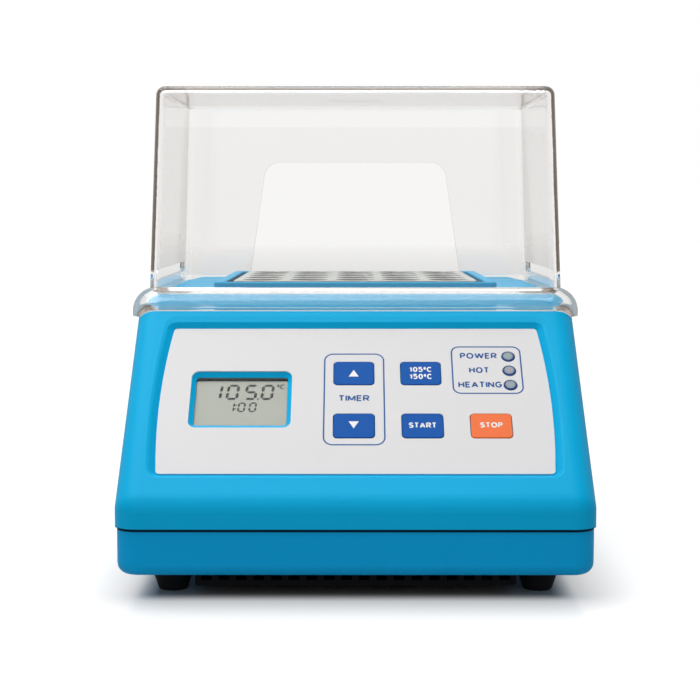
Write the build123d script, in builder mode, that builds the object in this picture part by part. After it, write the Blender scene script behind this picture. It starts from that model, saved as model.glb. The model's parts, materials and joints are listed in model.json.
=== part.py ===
"""Chemical oxygen demand reactor: a bench heating block for 25 vials.

A two-part moulded housing carries a sloped control panel and a square aluminium
block. A clear cover with a rolled skirt stands over the block and lifts straight off.

Frame: X to the right, Y to the back, Z up, in millimetres. The origin is on the
table under the middle of the instrument, and the feet stand on Z = 0.
"""

import math
import os

from build123d import *

os.makedirs("parts", exist_ok=True)

# ------------------------------------------------------------------ driving sizes
# Housing, seen from the side: front face, sloped panel, flat top, rear face
body_width = 190.0
body_depth = 300.0
top_z = 116.5               # flat top of the upper housing
fold_z = 39.8               # height where the front face and the panel would meet
panel_angle = 43.0          # panel above the horizontal, degrees
fold_radius = 10.0          # front face into panel
crest_radius = 10.0         # panel into flat top
rear_radius = 14.0          # flat top into rear face
edge_radius = 9.5           # all side edges of the upper housing
wall = 3.0

# Lower tub, parting line, base pan and feet
foot_height = 10.0          # from the table up to the tub
parting_z = 28.5            # middle of the shadow gap between tub and upper housing
parting_gap = 0.6
form_overlap = 1.0          # the hollow runs this far past the housing's open underside
tub_step = 0.8              # the tub stands back by this much all round
tub_wall = 4.0
tub_floor = 3.0
tub_edge_radius = 4.5
lip_height = 2.5
lip_clearance = 0.2
pan_height = 5.2
pan_inset = 8.0             # pan's front and rear inside those of the tub
pan_foot_gap = 1.0          # pan's side edges to the feet beside it
pan_wall = 1.5
pan_corner = 3.0
pan_screw_x = 52.0
pan_screw_y = 78.0
pan_hole_clearance = 1.2    # round the heads of the housing screws
pan_slot_pitch = 6.95
pan_slot_count = 18
pan_slot_width = 4.2
pan_slot_height = 2.2
foot_x = 74.0
foot_inset_y = 25.0
foot_top_diameter = 18.2
foot_bottom_diameter = 11.6
foot_web = 1.8
foot_edge_radius = 0.8
foot_screw_reach = 6.0
foot_boss_height = 5.0
floor_vent_y = 105.0
floor_vent_length = 34.0

# Screws that join the two housing parts, and the posts that they bite into
post_x = 52.0
post_inset_y = 13.0
post_diameter = 8.0
post_gap = 0.3
screw_diameter = 3.0
screw_seat = 0.05           # screw to the hole that it bites into, radially
screw_clearance = 0.3
screw_head_diameter = 6.0
screw_head_height = 2.4
screw_bite = 11.0
drill_point = 1.0           # hole past the screw's tip
screw_well_depth = 6.0

# Panel: recess, printed overlay, keys, lamps and display window
recess_depth = 2.6
recess_clearance = 0.3      # overlay edge to recess floor edge
recess_wall_run = 2.2       # steep wall, measured along the panel
recess_lip_depth = 0.45     # shallow bevel from the wall out to the panel's face
recess_lip_run = 1.0
recess_lip_extra = 1.9      # more of it above the overlay
panel_wall = 2.6            # housing left under the recess floor
label_thickness = 0.6
label_bottom = 15.5         # overlay edge above the fold line, along the slope
label_height = 78.0
label_half_bottom = 79.2
label_half_middle = 80.7
label_half_top = 77.6
label_corner = 1.5
key_width = 16.7
key_height = 12.5
key_corner = 1.6
key_edge_radius = 0.25
key_thickness = 1.0
key_stand = 0.25            # key face above the overlay
key_travel = 0.4
key_gap = 0.3               # round the key, and below it when it is pressed
key_stem_diameter = 4.6
key_stem_gap = 0.4
key_contact_gap = 0.1       # left between stem and switch when pressed
key_column_x = -0.6         # first of the three key columns
key_column_pitch = 27.95
key_row_low = 24.4          # key rows above the overlay's lower edge
key_row_high = 52.6
window_x = -47.4
window_v = 39.2
window_width = 38.2
window_height = 25.8
window_corner = 1.0
window_bevel = 1.9
window_bevel_extra = 0.9    # wider bevel under the opening
window_bevel_corner = 3.4
window_lap = 2.2            # pane past the opening's edge
window_thickness = 1.0
lamp_x = 64.6
lamp_first_v = 46.2
lamp_pitch = 7.9
lamp_diameter = 5.6
lamp_clearance = 0.15
lamp_dome = 0.5
lamp_edge_radius = 1.2
lamp_flange = 0.8
lamp_flange_lap = 0.9
led_diameter = 4.8

# Control board behind the panel
board_depth = 11.2          # board face below the panel's outer face
board_thickness = 1.6
board_width = 156.0
board_low_v = 20.0
board_block_gap = 11.0      # board's upper edge to the insulation behind it
board_corner = 2.0
board_hole_inset = 4.0
board_boss_diameter = 6.0
switch_body = 6.0
switch_body_height = 3.5
switch_cap_diameter = 3.2
switch_cap_height = 1.2
display_overhang = 3.5      # display module past the window opening
fit_gap = 0.3               # between fixed pieces that fit into each other

# Heating block with its wells
block_side = 110.0
block_height = 70.0
block_stand = 5.1           # block top above the flat top of the housing
block_corner = 2.0
well_count = 5
well_pitch = 21.0
well_diameter = 16.4
well_depth = 50.0
well_chamfer = 0.8
thermometer_diameter = 6.5
thermometer_depth = 45.0
rim_gap = 3.0
rim_thickness = 4.4
rim_stand = 4.8             # rim above the flat top
rim_corner = 2.0
rim_outer_corner = 3.0
rim_edge_radius = 0.8

# Heater stack and insulation under and round the block
heater_thickness = 1.6
heater_inset = 3.0
clamp_thickness = 3.0
clamp_inset = 2.0
clamp_screw_x = 31.5
clamp_screw_bite = 11.0
insulation_wall = 7.0
insulation_gap = 1.0
insulation_floor = 6.0
insulation_bottom_z = 34.0
insulation_drop = 1.5       # insulation top below the housing's inner face
insulation_corner = 4.0
standoff_x = 44.0
standoff_foot_diameter = 14.0
standoff_neck_diameter = 8.0
standoff_clearance = 0.4
probe_diameter = 5.0
probe_clearance = 0.1
probe_y = 21.0
probe_insertion = 14.0
probe_collar_diameter = 9.0
probe_collar_height = 5.0
cutout_diameter = 16.0
cutout_height = 5.0
cutout_y = -21.0
cutout_ear_length = 28.0
cutout_ear_thickness = 1.0

# Clear cover
cover_width = 181.4         # at the flat top of the housing
cover_depth = 132.0
cover_top_z = 207.0
cover_wall = 2.4
cover_draft = 2.2           # degrees
cover_plan_corner = 5.0
cover_top_radius = 4.0
cover_gap = 0.3             # cover to housing all round its seat
skirt_width = 196.0
skirt_front = 9.8           # skirt edge in front of the cover's front wall
skirt_tip_z = 106.7
skirt_stand = 2.8           # skirt's highest line above the flat top
skirt_radius = 10.4
skirt_plan_corner = 13.0
slot_low = 5.2              # side slots above the flat top
slot_high = 10.1
slot_length = 115.0
slot_shift_y = -2.5
slot_corner = 2.0
arch_bottom_width = 111.0
arch_top_width = 92.0
arch_height = 61.0
arch_corner = 8.0
dimple_diameter = 26.0
dimple_depth = 1.0

# Rear face: recess, mains inlet with fuse drawer, rocker switch, cooling slots
rear_recess_width = 102.0
rear_recess_height = 44.0
rear_recess_depth = 4.5
rear_pad = 4.5              # extra wall inside, behind the recess
rear_z = 56.0               # middle height of the rear fittings
rear_recess_corner = 3.0
inlet_x = -21.0
inlet_flange_width = 50.0
inlet_flange_height = 33.0
inlet_flange_thickness = 1.5
inlet_flange_corner = 4.0
inlet_body_width = 28.4
inlet_body_height = 30.4
inlet_body_depth = 27.0
inlet_screw_x = 20.0
socket_width = 24.4
socket_height = 16.6
socket_corner = 4.0
socket_depth = 17.0
socket_drop = 5.2           # socket middle below the inlet's middle
pin_thickness = 2.0
pin_width = 4.0
pin_pitch = 7.0
pin_offset = 2.0
pin_reach = 14.5
pin_tail = 8.0
drawer_width = 25.0
drawer_height = 7.6
drawer_gap = 0.3
drawer_rise = 9.6           # drawer middle above the inlet's middle
drawer_length = 22.0
drawer_nail_gap = 1.2
fuse_diameter = 5.0
fuse_length = 20.0
fuse_cap_length = 5.0
fuse_clearance = 0.2
fuse_glass_diameter = 4.4
drawer_nail_width = 9.0
rocker_x = 33.0
rocker_flange_width = 15.0
rocker_flange_height = 21.0
rocker_flange_thickness = 1.5
rocker_flange_corner = 1.0
rocker_shell = 1.0
rocker_body_depth = 16.0
rocker_width = 10.2
rocker_radius = 8.4
rocker_gap = 0.3
rocker_pivot_depth = 4.0
rocker_rise = 0.8
rocker_angle = 9.0          # either side of the middle, degrees
rocker_depth = 5.5
rocker_axle_diameter = 2.4
rocker_axle_clearance = 0.08
rocker_axle_length = 0.9
spade_thickness = 0.8
vent_count = 11
vent_pitch = 7.0
vent_width = 3.0
vent_height = 14.0
vent_z = 92.0

# Power board behind the block
power_board_side_gap = 6.2  # to the tub's inner walls
power_board_rear_gap = 22.2
power_board_depth = 48.0
power_board_thickness = 1.6
spacer_height = 6.0
spacer_diameter = 6.0
spacer_inset = 1.0          # spacer's flats inside the board's edge
transformer_size = (42.0, 34.0)
transformer_core_height = 8.0
transformer_height = 32.0
transformer_inset = 5.0     # core inside the board's left edge
transformer_window = 26.0
transformer_coil_inset = 3.0
transformer_coil_corner = 2.0
sink_size = (38.0, 20.0)
sink_base = 4.0
sink_height = 26.0
sink_fins = 6
sink_fin_thickness = 1.8
sink_inset = 9.0            # inside the board's right edge
triac_size = (10.0, 4.4, 15.0)

# ------------------------------------------------------------------ worked-out places
front_y = -body_depth / 2
rear_y = body_depth / 2
half_width = body_width / 2
slope = math.tan(math.radians(panel_angle))
panel_sin = math.sin(math.radians(panel_angle))
panel_cos = math.cos(math.radians(panel_angle))
crest_y = front_y + (top_z - fold_z) / slope
tub_bottom_z = foot_height
pan_bottom_z = tub_bottom_z - pan_height
tub_top_z = parting_z - parting_gap / 2
upper_bottom_z = parting_z + parting_gap / 2
floor_z = tub_bottom_z + tub_floor
post_bottom_z = upper_bottom_z + post_gap
post_y = rear_y - post_inset_y
foot_y = rear_y - foot_inset_y
panel_inner_depth = recess_depth + panel_wall
block_top_z = top_z + block_stand
block_bottom_z = block_top_z - block_height
heater_bottom_z = block_bottom_z - heater_thickness
clamp_bottom_z = heater_bottom_z - clamp_thickness
insulation_inner = block_side + 2 * insulation_gap
insulation_outer = insulation_inner + 2 * insulation_wall
board_back = board_depth + board_thickness
board_rise = -insulation_outer / 2 - board_block_gap - front_y - board_back * panel_sin
board_high_v = board_rise / panel_cos
opening_side = block_side + 2 * rim_gap
rim_side = opening_side + 2 * rim_thickness
key_columns = [key_column_x + key_column_pitch * index for index in range(3)]
key_places = {
    "up_key": (key_columns[0], label_bottom + key_row_high),
    "down_key": (key_columns[0], label_bottom + key_row_low),
    "temperature_key": (key_columns[1], label_bottom + key_row_high),
    "start_key": (key_columns[1], label_bottom + key_row_low),
    "stop_key": (key_columns[2], label_bottom + key_row_low),
}
lamp_names = ["heating_lens", "hot_lens", "power_lens"]
lamp_places = [
    (lamp_x, label_bottom + lamp_first_v + lamp_pitch * index) for index in range(3)
]
key_face_depth = recess_depth - label_thickness - key_stand
key_back_depth = key_face_depth + key_thickness
key_pocket_depth = key_back_depth + key_travel + key_gap
switch_top_depth = board_depth - switch_body_height - switch_cap_height
stem_tip_depth = switch_top_depth - key_travel - key_contact_gap
window_place = (window_x, label_bottom + window_v)
bevel_place = (window_x, label_bottom + window_v - window_bevel_extra / 2)
bevel_width = window_width + 2 * window_bevel
bevel_height = window_height + 2 * window_bevel + window_bevel_extra
pane_width = window_width + 2 * window_lap
pane_height = window_height + 2 * window_lap
screw_pilot = screw_diameter + 2 * screw_seat
rear_face_y = rear_y - rear_recess_depth + inlet_flange_thickness
rocker_body_width = rocker_width + 2 * (rocker_gap + rocker_shell)
rocker_body_height = 2 * (rocker_radius + rocker_gap + rocker_shell)
inlet_screw_places = [(-inlet_x + side * inlet_screw_x, 0) for side in (-1, 1)]
board_hole_x = board_width / 2 - board_hole_inset
board_holes = [
    (side * board_hole_x, v)
    for side in (-1, 1)
    for v in (board_low_v + board_hole_inset, board_high_v - board_hole_inset)
]
thermometer_place = (well_pitch / 2, well_pitch / 2)
edge_samples = (0, 0.37, 0.71)
touch = 0.01

# The panel's outer face: its own X is to the right and its own Y runs up the slope
panel_face = Plane(
    origin=(0, front_y, fold_z),
    x_dir=(1, 0, 0),
    z_dir=(0, -panel_sin, panel_cos),
)


def below_panel(depth):
    """The plane that lies this far inside the panel's outer face."""
    return panel_face.offset(-depth)


def rear_plane(inside=0.0):
    """A plane on the rear face, looking out, with its own X to the left from behind."""
    return Plane(origin=(0, rear_y - inside, rear_z), x_dir=(-1, 0, 0), z_dir=(0, 1, 0))


def on_depth(edge, depth):
    """Whether an edge lies flat in the plane this far below the panel's outer face."""
    heights = [panel_face.to_local_coords(edge @ step).Z for step in edge_samples]
    return all(abs(height + depth) < touch for height in heights)


def save(piece, name):
    """Name a finished piece and write it as its own STEP file."""
    piece.part.label = name
    export_step(piece.part, f"parts/{name}.step")


def moulded_form(grow=0.0, slope_grow=0.0, shave=0.0):
    """The housing's whole outer form, larger by grow, or smaller where it is negative.

    slope_grow moves the sloped face by itself, along its normal. The side outline is
    a chain of flats and tangent arcs, and one fillet runs round each side edge.
    """
    face_shift = grow + slope_grow
    low_y = front_y - grow
    high_y = rear_y + grow
    high_z = top_z + grow
    fold_shift = (face_shift - grow * panel_sin) / panel_cos
    crest_shift = (face_shift - grow * panel_cos) / panel_sin
    outline = [
        (low_y, upper_bottom_z - shave),
        (low_y, fold_z + fold_shift),
        (crest_y - crest_shift, high_z),
        (high_y, high_z),
        (high_y, upper_bottom_z - shave),
    ]
    radii = [0, fold_radius + grow, crest_radius + grow, rear_radius + grow, 0]
    with BuildPart() as form:
        with BuildSketch(Plane.YZ):
            with BuildLine():
                FilletPolyline(*outline, radius=radii, close=True)
            make_face()
        extrude(amount=half_width + grow, both=True)
        side_edges = faces().filter_by(Axis.X).edges()
        bottom = side_edges.sort_by(Axis.Z)[0].center().Z
        rounded = side_edges.filter_by(lambda edge: edge.center().Z > bottom + 1)
        fillet(rounded, edge_radius + grow)
    return form.part


def label_outline(grow=0.0, top_extra=0.0):
    """Overlay outline on the panel: straight top and bottom, gently bowed sides."""
    low_v = label_bottom - grow
    high_v = label_bottom + label_height + grow + top_extra
    middle_v = (low_v + high_v) / 2
    half_low = label_half_bottom + grow
    half_middle = label_half_middle + grow
    half_high = label_half_top + grow
    with BuildSketch() as outline:
        with BuildLine():
            Line((-half_low, low_v), (half_low, low_v))
            ThreePointArc((half_low, low_v), (half_middle, middle_v), (half_high, high_v))
            Line((half_high, high_v), (-half_high, high_v))
            ThreePointArc((-half_high, high_v), (-half_middle, middle_v), (-half_low, low_v))
        make_face()
        fillet(outline.vertices(), label_corner + grow)
    return outline.sketch


outer_form = moulded_form()
inner_form = moulded_form(-wall, wall - panel_inner_depth, shave=form_overlap)
cover_seat_form = moulded_form(cover_gap)
label_shape = label_outline()
recess_floor_shape = label_outline(recess_clearance)
recess_wall_shape = label_outline(recess_clearance + recess_wall_run)
recess_lip_shape = label_outline(
    recess_clearance + recess_wall_run + recess_lip_run, recess_lip_extra
)

# ------------------------------------------------------------------ upper housing
# Screw posts with a rib to the nearest wall, all cut to the housing's own form
with BuildPart() as posts:
    with BuildSketch(Plane.XY.offset(post_bottom_z)):
        with GridLocations(2 * post_x, 2 * post_y, 2, 2):
            Circle(post_diameter / 2)
    extrude(amount=top_z)
    with BuildSketch(Plane.XY.offset(tub_top_z + lip_height + fit_gap)):
        with GridLocations(2 * post_x, 2 * post_y + post_inset_y, 2, 2):
            Rectangle(wall / 2, post_inset_y)
    extrude(amount=top_z)
    add(outer_form, mode=Mode.INTERSECT)

with BuildPart() as upper_housing:
    add(outer_form)
    add(inner_form, mode=Mode.SUBTRACT)
    add(posts.part)
    with BuildSketch(Plane.XY.offset(post_bottom_z)):
        with GridLocations(2 * post_x, 2 * post_y, 2, 2):
            Circle(screw_pilot / 2)
    extrude(amount=screw_bite + drill_point, mode=Mode.SUBTRACT)

    # Raised rim and the square opening for the block
    with BuildSketch(Plane.XY.offset(top_z - wall)):
        RectangleRounded(rim_side, rim_side, rim_outer_corner)
    extrude(amount=rim_stand + wall)
    with BuildSketch(Plane.XY.offset(top_z + rim_stand)):
        RectangleRounded(opening_side, opening_side, rim_corner)
    extrude(amount=-rim_stand - 3 * wall, mode=Mode.SUBTRACT)
    rim_edges = edges().filter_by_position(
        Axis.Z, top_z + rim_stand - touch, top_z + rim_stand + touch
    )
    fillet(rim_edges, rim_edge_radius)

    # Recess for the overlay: a steep wall, then a shallow bevel out to the panel's face
    with BuildSketch(below_panel(recess_depth)):
        add(recess_floor_shape)
    with BuildSketch(below_panel(recess_lip_depth)):
        add(recess_wall_shape)
    loft(mode=Mode.SUBTRACT)
    with BuildSketch(below_panel(recess_lip_depth)):
        add(recess_wall_shape)
    with BuildSketch(panel_face):
        add(recess_lip_shape)
    loft(mode=Mode.SUBTRACT)

    # Display window: a bevelled opening and, from behind, a rebate for the pane
    with BuildSketch(below_panel(recess_depth)):
        with Locations(bevel_place):
            RectangleRounded(bevel_width, bevel_height, window_bevel_corner)
    with BuildSketch(below_panel(panel_inner_depth - window_thickness)):
        with Locations(window_place):
            RectangleRounded(window_width, window_height, window_corner)
    loft(mode=Mode.SUBTRACT)
    with BuildSketch(below_panel(panel_inner_depth)):
        with Locations(window_place):
            Rectangle(pane_width + 2 * fit_gap, pane_height + 2 * fit_gap)
    extrude(amount=window_thickness, mode=Mode.SUBTRACT)

    # Key pockets with stem holes, and lamp holes
    with BuildSketch(below_panel(key_pocket_depth)):
        with Locations(*key_places.values()):
            RectangleRounded(
                key_width + 2 * key_gap, key_height + 2 * key_gap, key_corner + key_gap
            )
    extrude(amount=key_pocket_depth, mode=Mode.SUBTRACT)
    with BuildSketch(below_panel(panel_inner_depth)):
        with Locations(*key_places.values()):
            Circle(key_stem_diameter / 2 + key_stem_gap)
        with Locations(*lamp_places):
            Circle(lamp_diameter / 2 + lamp_clearance)
    extrude(amount=panel_wall, mode=Mode.SUBTRACT)

    # Bosses that carry the control board
    with BuildSketch(below_panel(board_depth)):
        with Locations(*board_holes):
            Circle(board_boss_diameter / 2)
    extrude(amount=board_depth - panel_inner_depth)
    with BuildSketch(below_panel(board_depth)):
        with Locations(*board_holes):
            Circle(screw_pilot / 2)
    extrude(amount=board_depth - panel_inner_depth, mode=Mode.SUBTRACT)

    # Rear fittings: pad inside, recess outside, openings for the inlet and the switch
    with BuildSketch(rear_plane(wall)):
        Rectangle(rear_recess_width + 2 * wall, rear_recess_height + 2 * wall)
    extrude(amount=-rear_pad)
    with BuildSketch(rear_plane()):
        RectangleRounded(rear_recess_width, rear_recess_height, rear_recess_corner)
    extrude(amount=-rear_recess_depth, mode=Mode.SUBTRACT)
    with BuildSketch(rear_plane()):
        with Locations((-inlet_x, 0)):
            Rectangle(inlet_body_width + 2 * fit_gap, inlet_body_height + 2 * fit_gap)
        with Locations((-rocker_x, 0)):
            Rectangle(rocker_body_width + 2 * fit_gap, rocker_body_height + 2 * fit_gap)
        with Locations(*inlet_screw_places):
            Circle(screw_pilot / 2)
    extrude(amount=-wall - rear_pad, mode=Mode.SUBTRACT)

    # Cooling slots near the top of the rear face
    with BuildSketch(rear_plane()):
        with Locations((0, vent_z - rear_z)):
            with GridLocations(vent_pitch, vent_pitch, vent_count, 1):
                SlotOverall(vent_height, vent_width, rotation=90)
    extrude(amount=-wall, mode=Mode.SUBTRACT)

save(upper_housing, "upper_housing")

# ------------------------------------------------------------------ lower housing
tub_half_width = half_width - tub_step
tub_half_depth = body_depth / 2 - tub_step
tub_corner = edge_radius - tub_step
tub_inner_width = 2 * (tub_half_width - tub_wall)
tub_inner_depth = 2 * (tub_half_depth - tub_wall)
lip_width = body_width - 2 * (wall + lip_clearance)
lip_depth = body_depth - 2 * (wall + lip_clearance)
pad_radius = screw_head_diameter / 2 + pan_wall

with BuildPart() as lower_housing:
    with BuildSketch(Plane.XY.offset(tub_bottom_z)):
        RectangleRounded(2 * tub_half_width, 2 * tub_half_depth, tub_corner)
    extrude(amount=tub_top_z - tub_bottom_z)
    fillet(faces().sort_by(Axis.Z)[0].edges(), tub_edge_radius)

    # Lip that steps up inside the upper housing, then the hollow inside both
    with BuildSketch(Plane.XY.offset(tub_top_z)):
        RectangleRounded(lip_width, lip_depth, edge_radius - wall)
    extrude(amount=lip_height)
    with BuildSketch(Plane.XY.offset(floor_z)):
        RectangleRounded(tub_inner_width, tub_inner_depth, tub_corner - tub_wall)
    extrude(amount=tub_top_z, mode=Mode.SUBTRACT)

    # Screw bosses up to the posts and over the feet, and pads down to the base pan
    with BuildSketch(Plane.XY.offset(floor_z)):
        with GridLocations(2 * post_x, 2 * post_y, 2, 2):
            Circle(pad_radius)
    extrude(amount=post_bottom_z - post_gap - floor_z)
    with BuildSketch(Plane.XY.offset(floor_z)):
        with GridLocations(2 * foot_x, 2 * foot_y, 2, 2):
            Circle(pad_radius)
    extrude(amount=foot_boss_height)
    with BuildSketch(Plane.XY.offset(tub_bottom_z)):
        with GridLocations(2 * pan_screw_x, 2 * pan_screw_y, 2, 2):
            Circle(pad_radius)
    extrude(amount=pan_wall - pan_height)

    # Screw wells under the bosses, and blind holes for the foot and pan screws
    with BuildSketch(Plane.XY.offset(tub_bottom_z)):
        with GridLocations(2 * post_x, 2 * post_y, 2, 2):
            Circle(screw_diameter / 2 + screw_clearance)
    extrude(amount=post_bottom_z - tub_bottom_z, mode=Mode.SUBTRACT)
    with BuildSketch(Plane.XY.offset(tub_bottom_z)):
        with GridLocations(2 * post_x, 2 * post_y, 2, 2):
            Circle(screw_head_diameter / 2 + screw_clearance)
    extrude(amount=screw_well_depth, mode=Mode.SUBTRACT)
    with BuildSketch(Plane.XY.offset(tub_bottom_z)):
        with GridLocations(2 * foot_x, 2 * foot_y, 2, 2):
            Circle(screw_pilot / 2)
    extrude(amount=foot_screw_reach, mode=Mode.SUBTRACT)
    with BuildSketch(Plane.XY.offset(pan_bottom_z + pan_wall)):
        with GridLocations(2 * pan_screw_x, 2 * pan_screw_y, 2, 2):
            Circle(screw_pilot / 2)
    extrude(amount=foot_screw_reach, mode=Mode.SUBTRACT)

    # Air slots in the floor, in front of and behind the block
    with BuildSketch(Plane.XY.offset(tub_bottom_z)):
        with GridLocations(pan_slot_pitch, 2 * floor_vent_y, pan_slot_count, 2):
            SlotOverall(floor_vent_length, pan_slot_width, rotation=90)
    extrude(amount=tub_floor, mode=Mode.SUBTRACT)

save(lower_housing, "lower_housing")

# ------------------------------------------------------------------ base pan
pan_width = 2 * (foot_x - foot_top_diameter / 2 - pan_foot_gap)
pan_depth = 2 * (tub_half_depth - pan_inset)

with BuildPart() as base_pan:
    with BuildSketch(Plane.XY.offset(pan_bottom_z)):
        RectangleRounded(pan_width, pan_depth, pan_corner)
    extrude(amount=pan_height)
    with BuildSketch(Plane.XY.offset(pan_bottom_z + pan_wall)):
        RectangleRounded(
            pan_width - 2 * pan_wall, pan_depth - 2 * pan_wall, pan_corner - pan_wall
        )
    extrude(amount=pan_height, mode=Mode.SUBTRACT)

    # Vent slots through the front and rear walls
    with BuildSketch(Plane.XZ.offset(-pan_depth / 2)):
        with Locations((0, tub_bottom_z - pan_wall / 2 - pan_slot_height / 2)):
            with GridLocations(pan_slot_pitch, 1, pan_slot_count, 1):
                Rectangle(pan_slot_width, pan_slot_height)
    extrude(amount=pan_depth, mode=Mode.SUBTRACT)

    # Openings under the housing screws, and holes for the pan's own screws
    with BuildSketch(Plane.XY.offset(pan_bottom_z)):
        with GridLocations(2 * post_x, 2 * post_y, 2, 2):
            Circle(screw_head_diameter / 2 + pan_hole_clearance)
        with GridLocations(2 * pan_screw_x, 2 * pan_screw_y, 2, 2):
            Circle(screw_diameter / 2 + screw_clearance)
    extrude(amount=pan_wall, mode=Mode.SUBTRACT)

save(base_pan, "base_pan")

# ------------------------------------------------------------------ feet and screws
foot_recess = foot_height - foot_web
head_hole = screw_head_diameter / 2 + screw_clearance
shank_hole = screw_diameter / 2 + screw_clearance

for side_name, side_x in (("left", -foot_x), ("right", foot_x)):
    for end_name, end_y in (("front", -foot_y), ("rear", foot_y)):
        with BuildPart() as foot:
            with BuildSketch(Plane((side_x, end_y, 0), x_dir=(1, 0, 0), z_dir=(0, -1, 0))):
                with BuildLine():
                    Polyline(
                        (shank_hole, foot_recess),
                        (head_hole, foot_recess),
                        (head_hole, 0),
                        (foot_bottom_diameter / 2, 0),
                        (foot_top_diameter / 2, foot_height),
                        (shank_hole, foot_height),
                        close=True,
                    )
                make_face()
            revolve(axis=Axis((side_x, end_y, 0), (0, 0, 1)))
            fillet(foot.faces().sort_by(Axis.Z)[0].outer_wire().edges(), foot_edge_radius)
        save(foot, f"foot_{end_name}_{side_name}")


def upright_screws(places, head_z, tip_z):
    """Pan-head screws that point up, with their heads' upper faces at head_z."""
    with BuildPart() as screws:
        with BuildSketch(Plane.XY.offset(head_z)):
            with Locations(*places):
                Circle(screw_head_diameter / 2)
        extrude(amount=-screw_head_height)
        fillet(screws.edges().group_by(Axis.Z)[0], screw_head_height / 3)
        with BuildSketch(Plane.XY.offset(head_z)):
            with Locations(*places):
                Circle(screw_diameter / 2)
        extrude(amount=tip_z - head_z)
    return screws


foot_places = [(x, y) for x in (-foot_x, foot_x) for y in (-foot_y, foot_y)]
foot_screw_tip_z = tub_bottom_z + foot_screw_reach - screw_clearance
foot_screws = upright_screws(foot_places, foot_recess, foot_screw_tip_z)
save(foot_screws, "foot_screws")

pan_places = [
    (x, y) for x in (-pan_screw_x, pan_screw_x) for y in (-pan_screw_y, pan_screw_y)
]
pan_screw_tip_z = pan_bottom_z + pan_wall + foot_screw_reach - screw_clearance
pan_screws = upright_screws(pan_places, pan_bottom_z, pan_screw_tip_z)
save(pan_screws, "pan_screws")

post_places = [(x, y) for x in (-post_x, post_x) for y in (-post_y, post_y)]
housing_screws = upright_screws(
    post_places, tub_bottom_z + screw_well_depth, post_bottom_z + screw_bite
)
save(housing_screws, "housing_screws")

# ------------------------------------------------------------------ panel overlay
with BuildPart() as front_label:
    with BuildSketch(below_panel(recess_depth)):
        add(label_shape)
        with Locations(bevel_place):
            RectangleRounded(
                bevel_width, bevel_height, window_bevel_corner, mode=Mode.SUBTRACT
            )
        with Locations(*key_places.values()):
            RectangleRounded(
                key_width + 2 * key_gap,
                key_height + 2 * key_gap,
                key_corner + key_gap,
                mode=Mode.SUBTRACT,
            )
        with Locations(*lamp_places):
            Circle(lamp_diameter / 2 + lamp_clearance, mode=Mode.SUBTRACT)
    extrude(amount=label_thickness)

save(front_label, "front_label")

# ------------------------------------------------------------------ keys
for key_name, key_place in key_places.items():
    with BuildPart() as key:
        with BuildSketch(below_panel(key_back_depth)):
            with Locations(key_place):
                RectangleRounded(key_width, key_height, key_corner)
        extrude(amount=key_thickness)
        fillet(key.edges().filter_by(lambda e: on_depth(e, key_face_depth)), key_edge_radius)
        with BuildSketch(below_panel(stem_tip_depth)):
            with Locations(key_place):
                Circle(key_stem_diameter / 2)
        extrude(amount=stem_tip_depth - key_back_depth)
    save(key, key_name)

with BuildPart() as key_switches:
    with BuildSketch(below_panel(board_depth)):
        with Locations(*key_places.values()):
            Rectangle(switch_body, switch_body)
    extrude(amount=switch_body_height)
    with BuildSketch(below_panel(board_depth - switch_body_height)):
        with Locations(*key_places.values()):
            Circle(switch_cap_diameter / 2)
    extrude(amount=switch_cap_height)

save(key_switches, "key_switches")

# ------------------------------------------------------------------ lamps
lamp_top_depth = recess_depth - label_thickness - lamp_dome
for lamp_name, lamp_place in zip(lamp_names, lamp_places):
    with BuildPart() as lens:
        with BuildSketch(below_panel(panel_inner_depth + lamp_flange)):
            with Locations(lamp_place):
                Circle(lamp_diameter / 2 + lamp_flange_lap)
        extrude(amount=lamp_flange)
        with BuildSketch(below_panel(panel_inner_depth)):
            with Locations(lamp_place):
                Circle(lamp_diameter / 2)
        extrude(amount=panel_inner_depth - lamp_top_depth)
        lens_edge = lens.edges().filter_by(lambda e: on_depth(e, lamp_top_depth))
        fillet(lens_edge, lamp_edge_radius)
    save(lens, lamp_name)

with BuildPart() as indicator_leds:
    with BuildSketch(below_panel(board_depth)):
        with Locations(*lamp_places):
            Circle(led_diameter / 2)
    extrude(amount=board_depth - panel_inner_depth - lamp_flange - fit_gap)

save(indicator_leds, "indicator_leds")

# ------------------------------------------------------------------ display
with BuildPart() as display_window:
    with BuildSketch(below_panel(panel_inner_depth)):
        with Locations(window_place):
            Rectangle(pane_width, pane_height)
    extrude(amount=window_thickness)

save(display_window, "display_window")

with BuildPart() as display_module:
    with BuildSketch(below_panel(board_depth)):
        with Locations(window_place):
            Rectangle(
                window_width + 2 * display_overhang, window_height + 2 * display_overhang
            )
    extrude(amount=board_depth - panel_inner_depth - fit_gap)

save(display_module, "display_module")

# ------------------------------------------------------------------ control board
with BuildPart() as control_board:
    with BuildSketch(below_panel(board_depth)):
        with Locations((0, (board_low_v + board_high_v) / 2)):
            RectangleRounded(board_width, board_high_v - board_low_v, board_corner)
        with Locations(*board_holes):
            Circle(screw_diameter / 2 + screw_clearance, mode=Mode.SUBTRACT)
    extrude(amount=-board_thickness)

save(control_board, "control_board")

with BuildPart() as board_screws:
    with BuildSketch(below_panel(board_back)):
        with Locations(*board_holes):
            Circle(screw_head_diameter / 2)
    extrude(amount=-screw_head_height)
    with BuildSketch(below_panel(board_back)):
        with Locations(*board_holes):
            Circle(screw_diameter / 2)
    extrude(amount=board_back - panel_inner_depth - screw_clearance)

save(board_screws, "board_screws")

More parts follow.
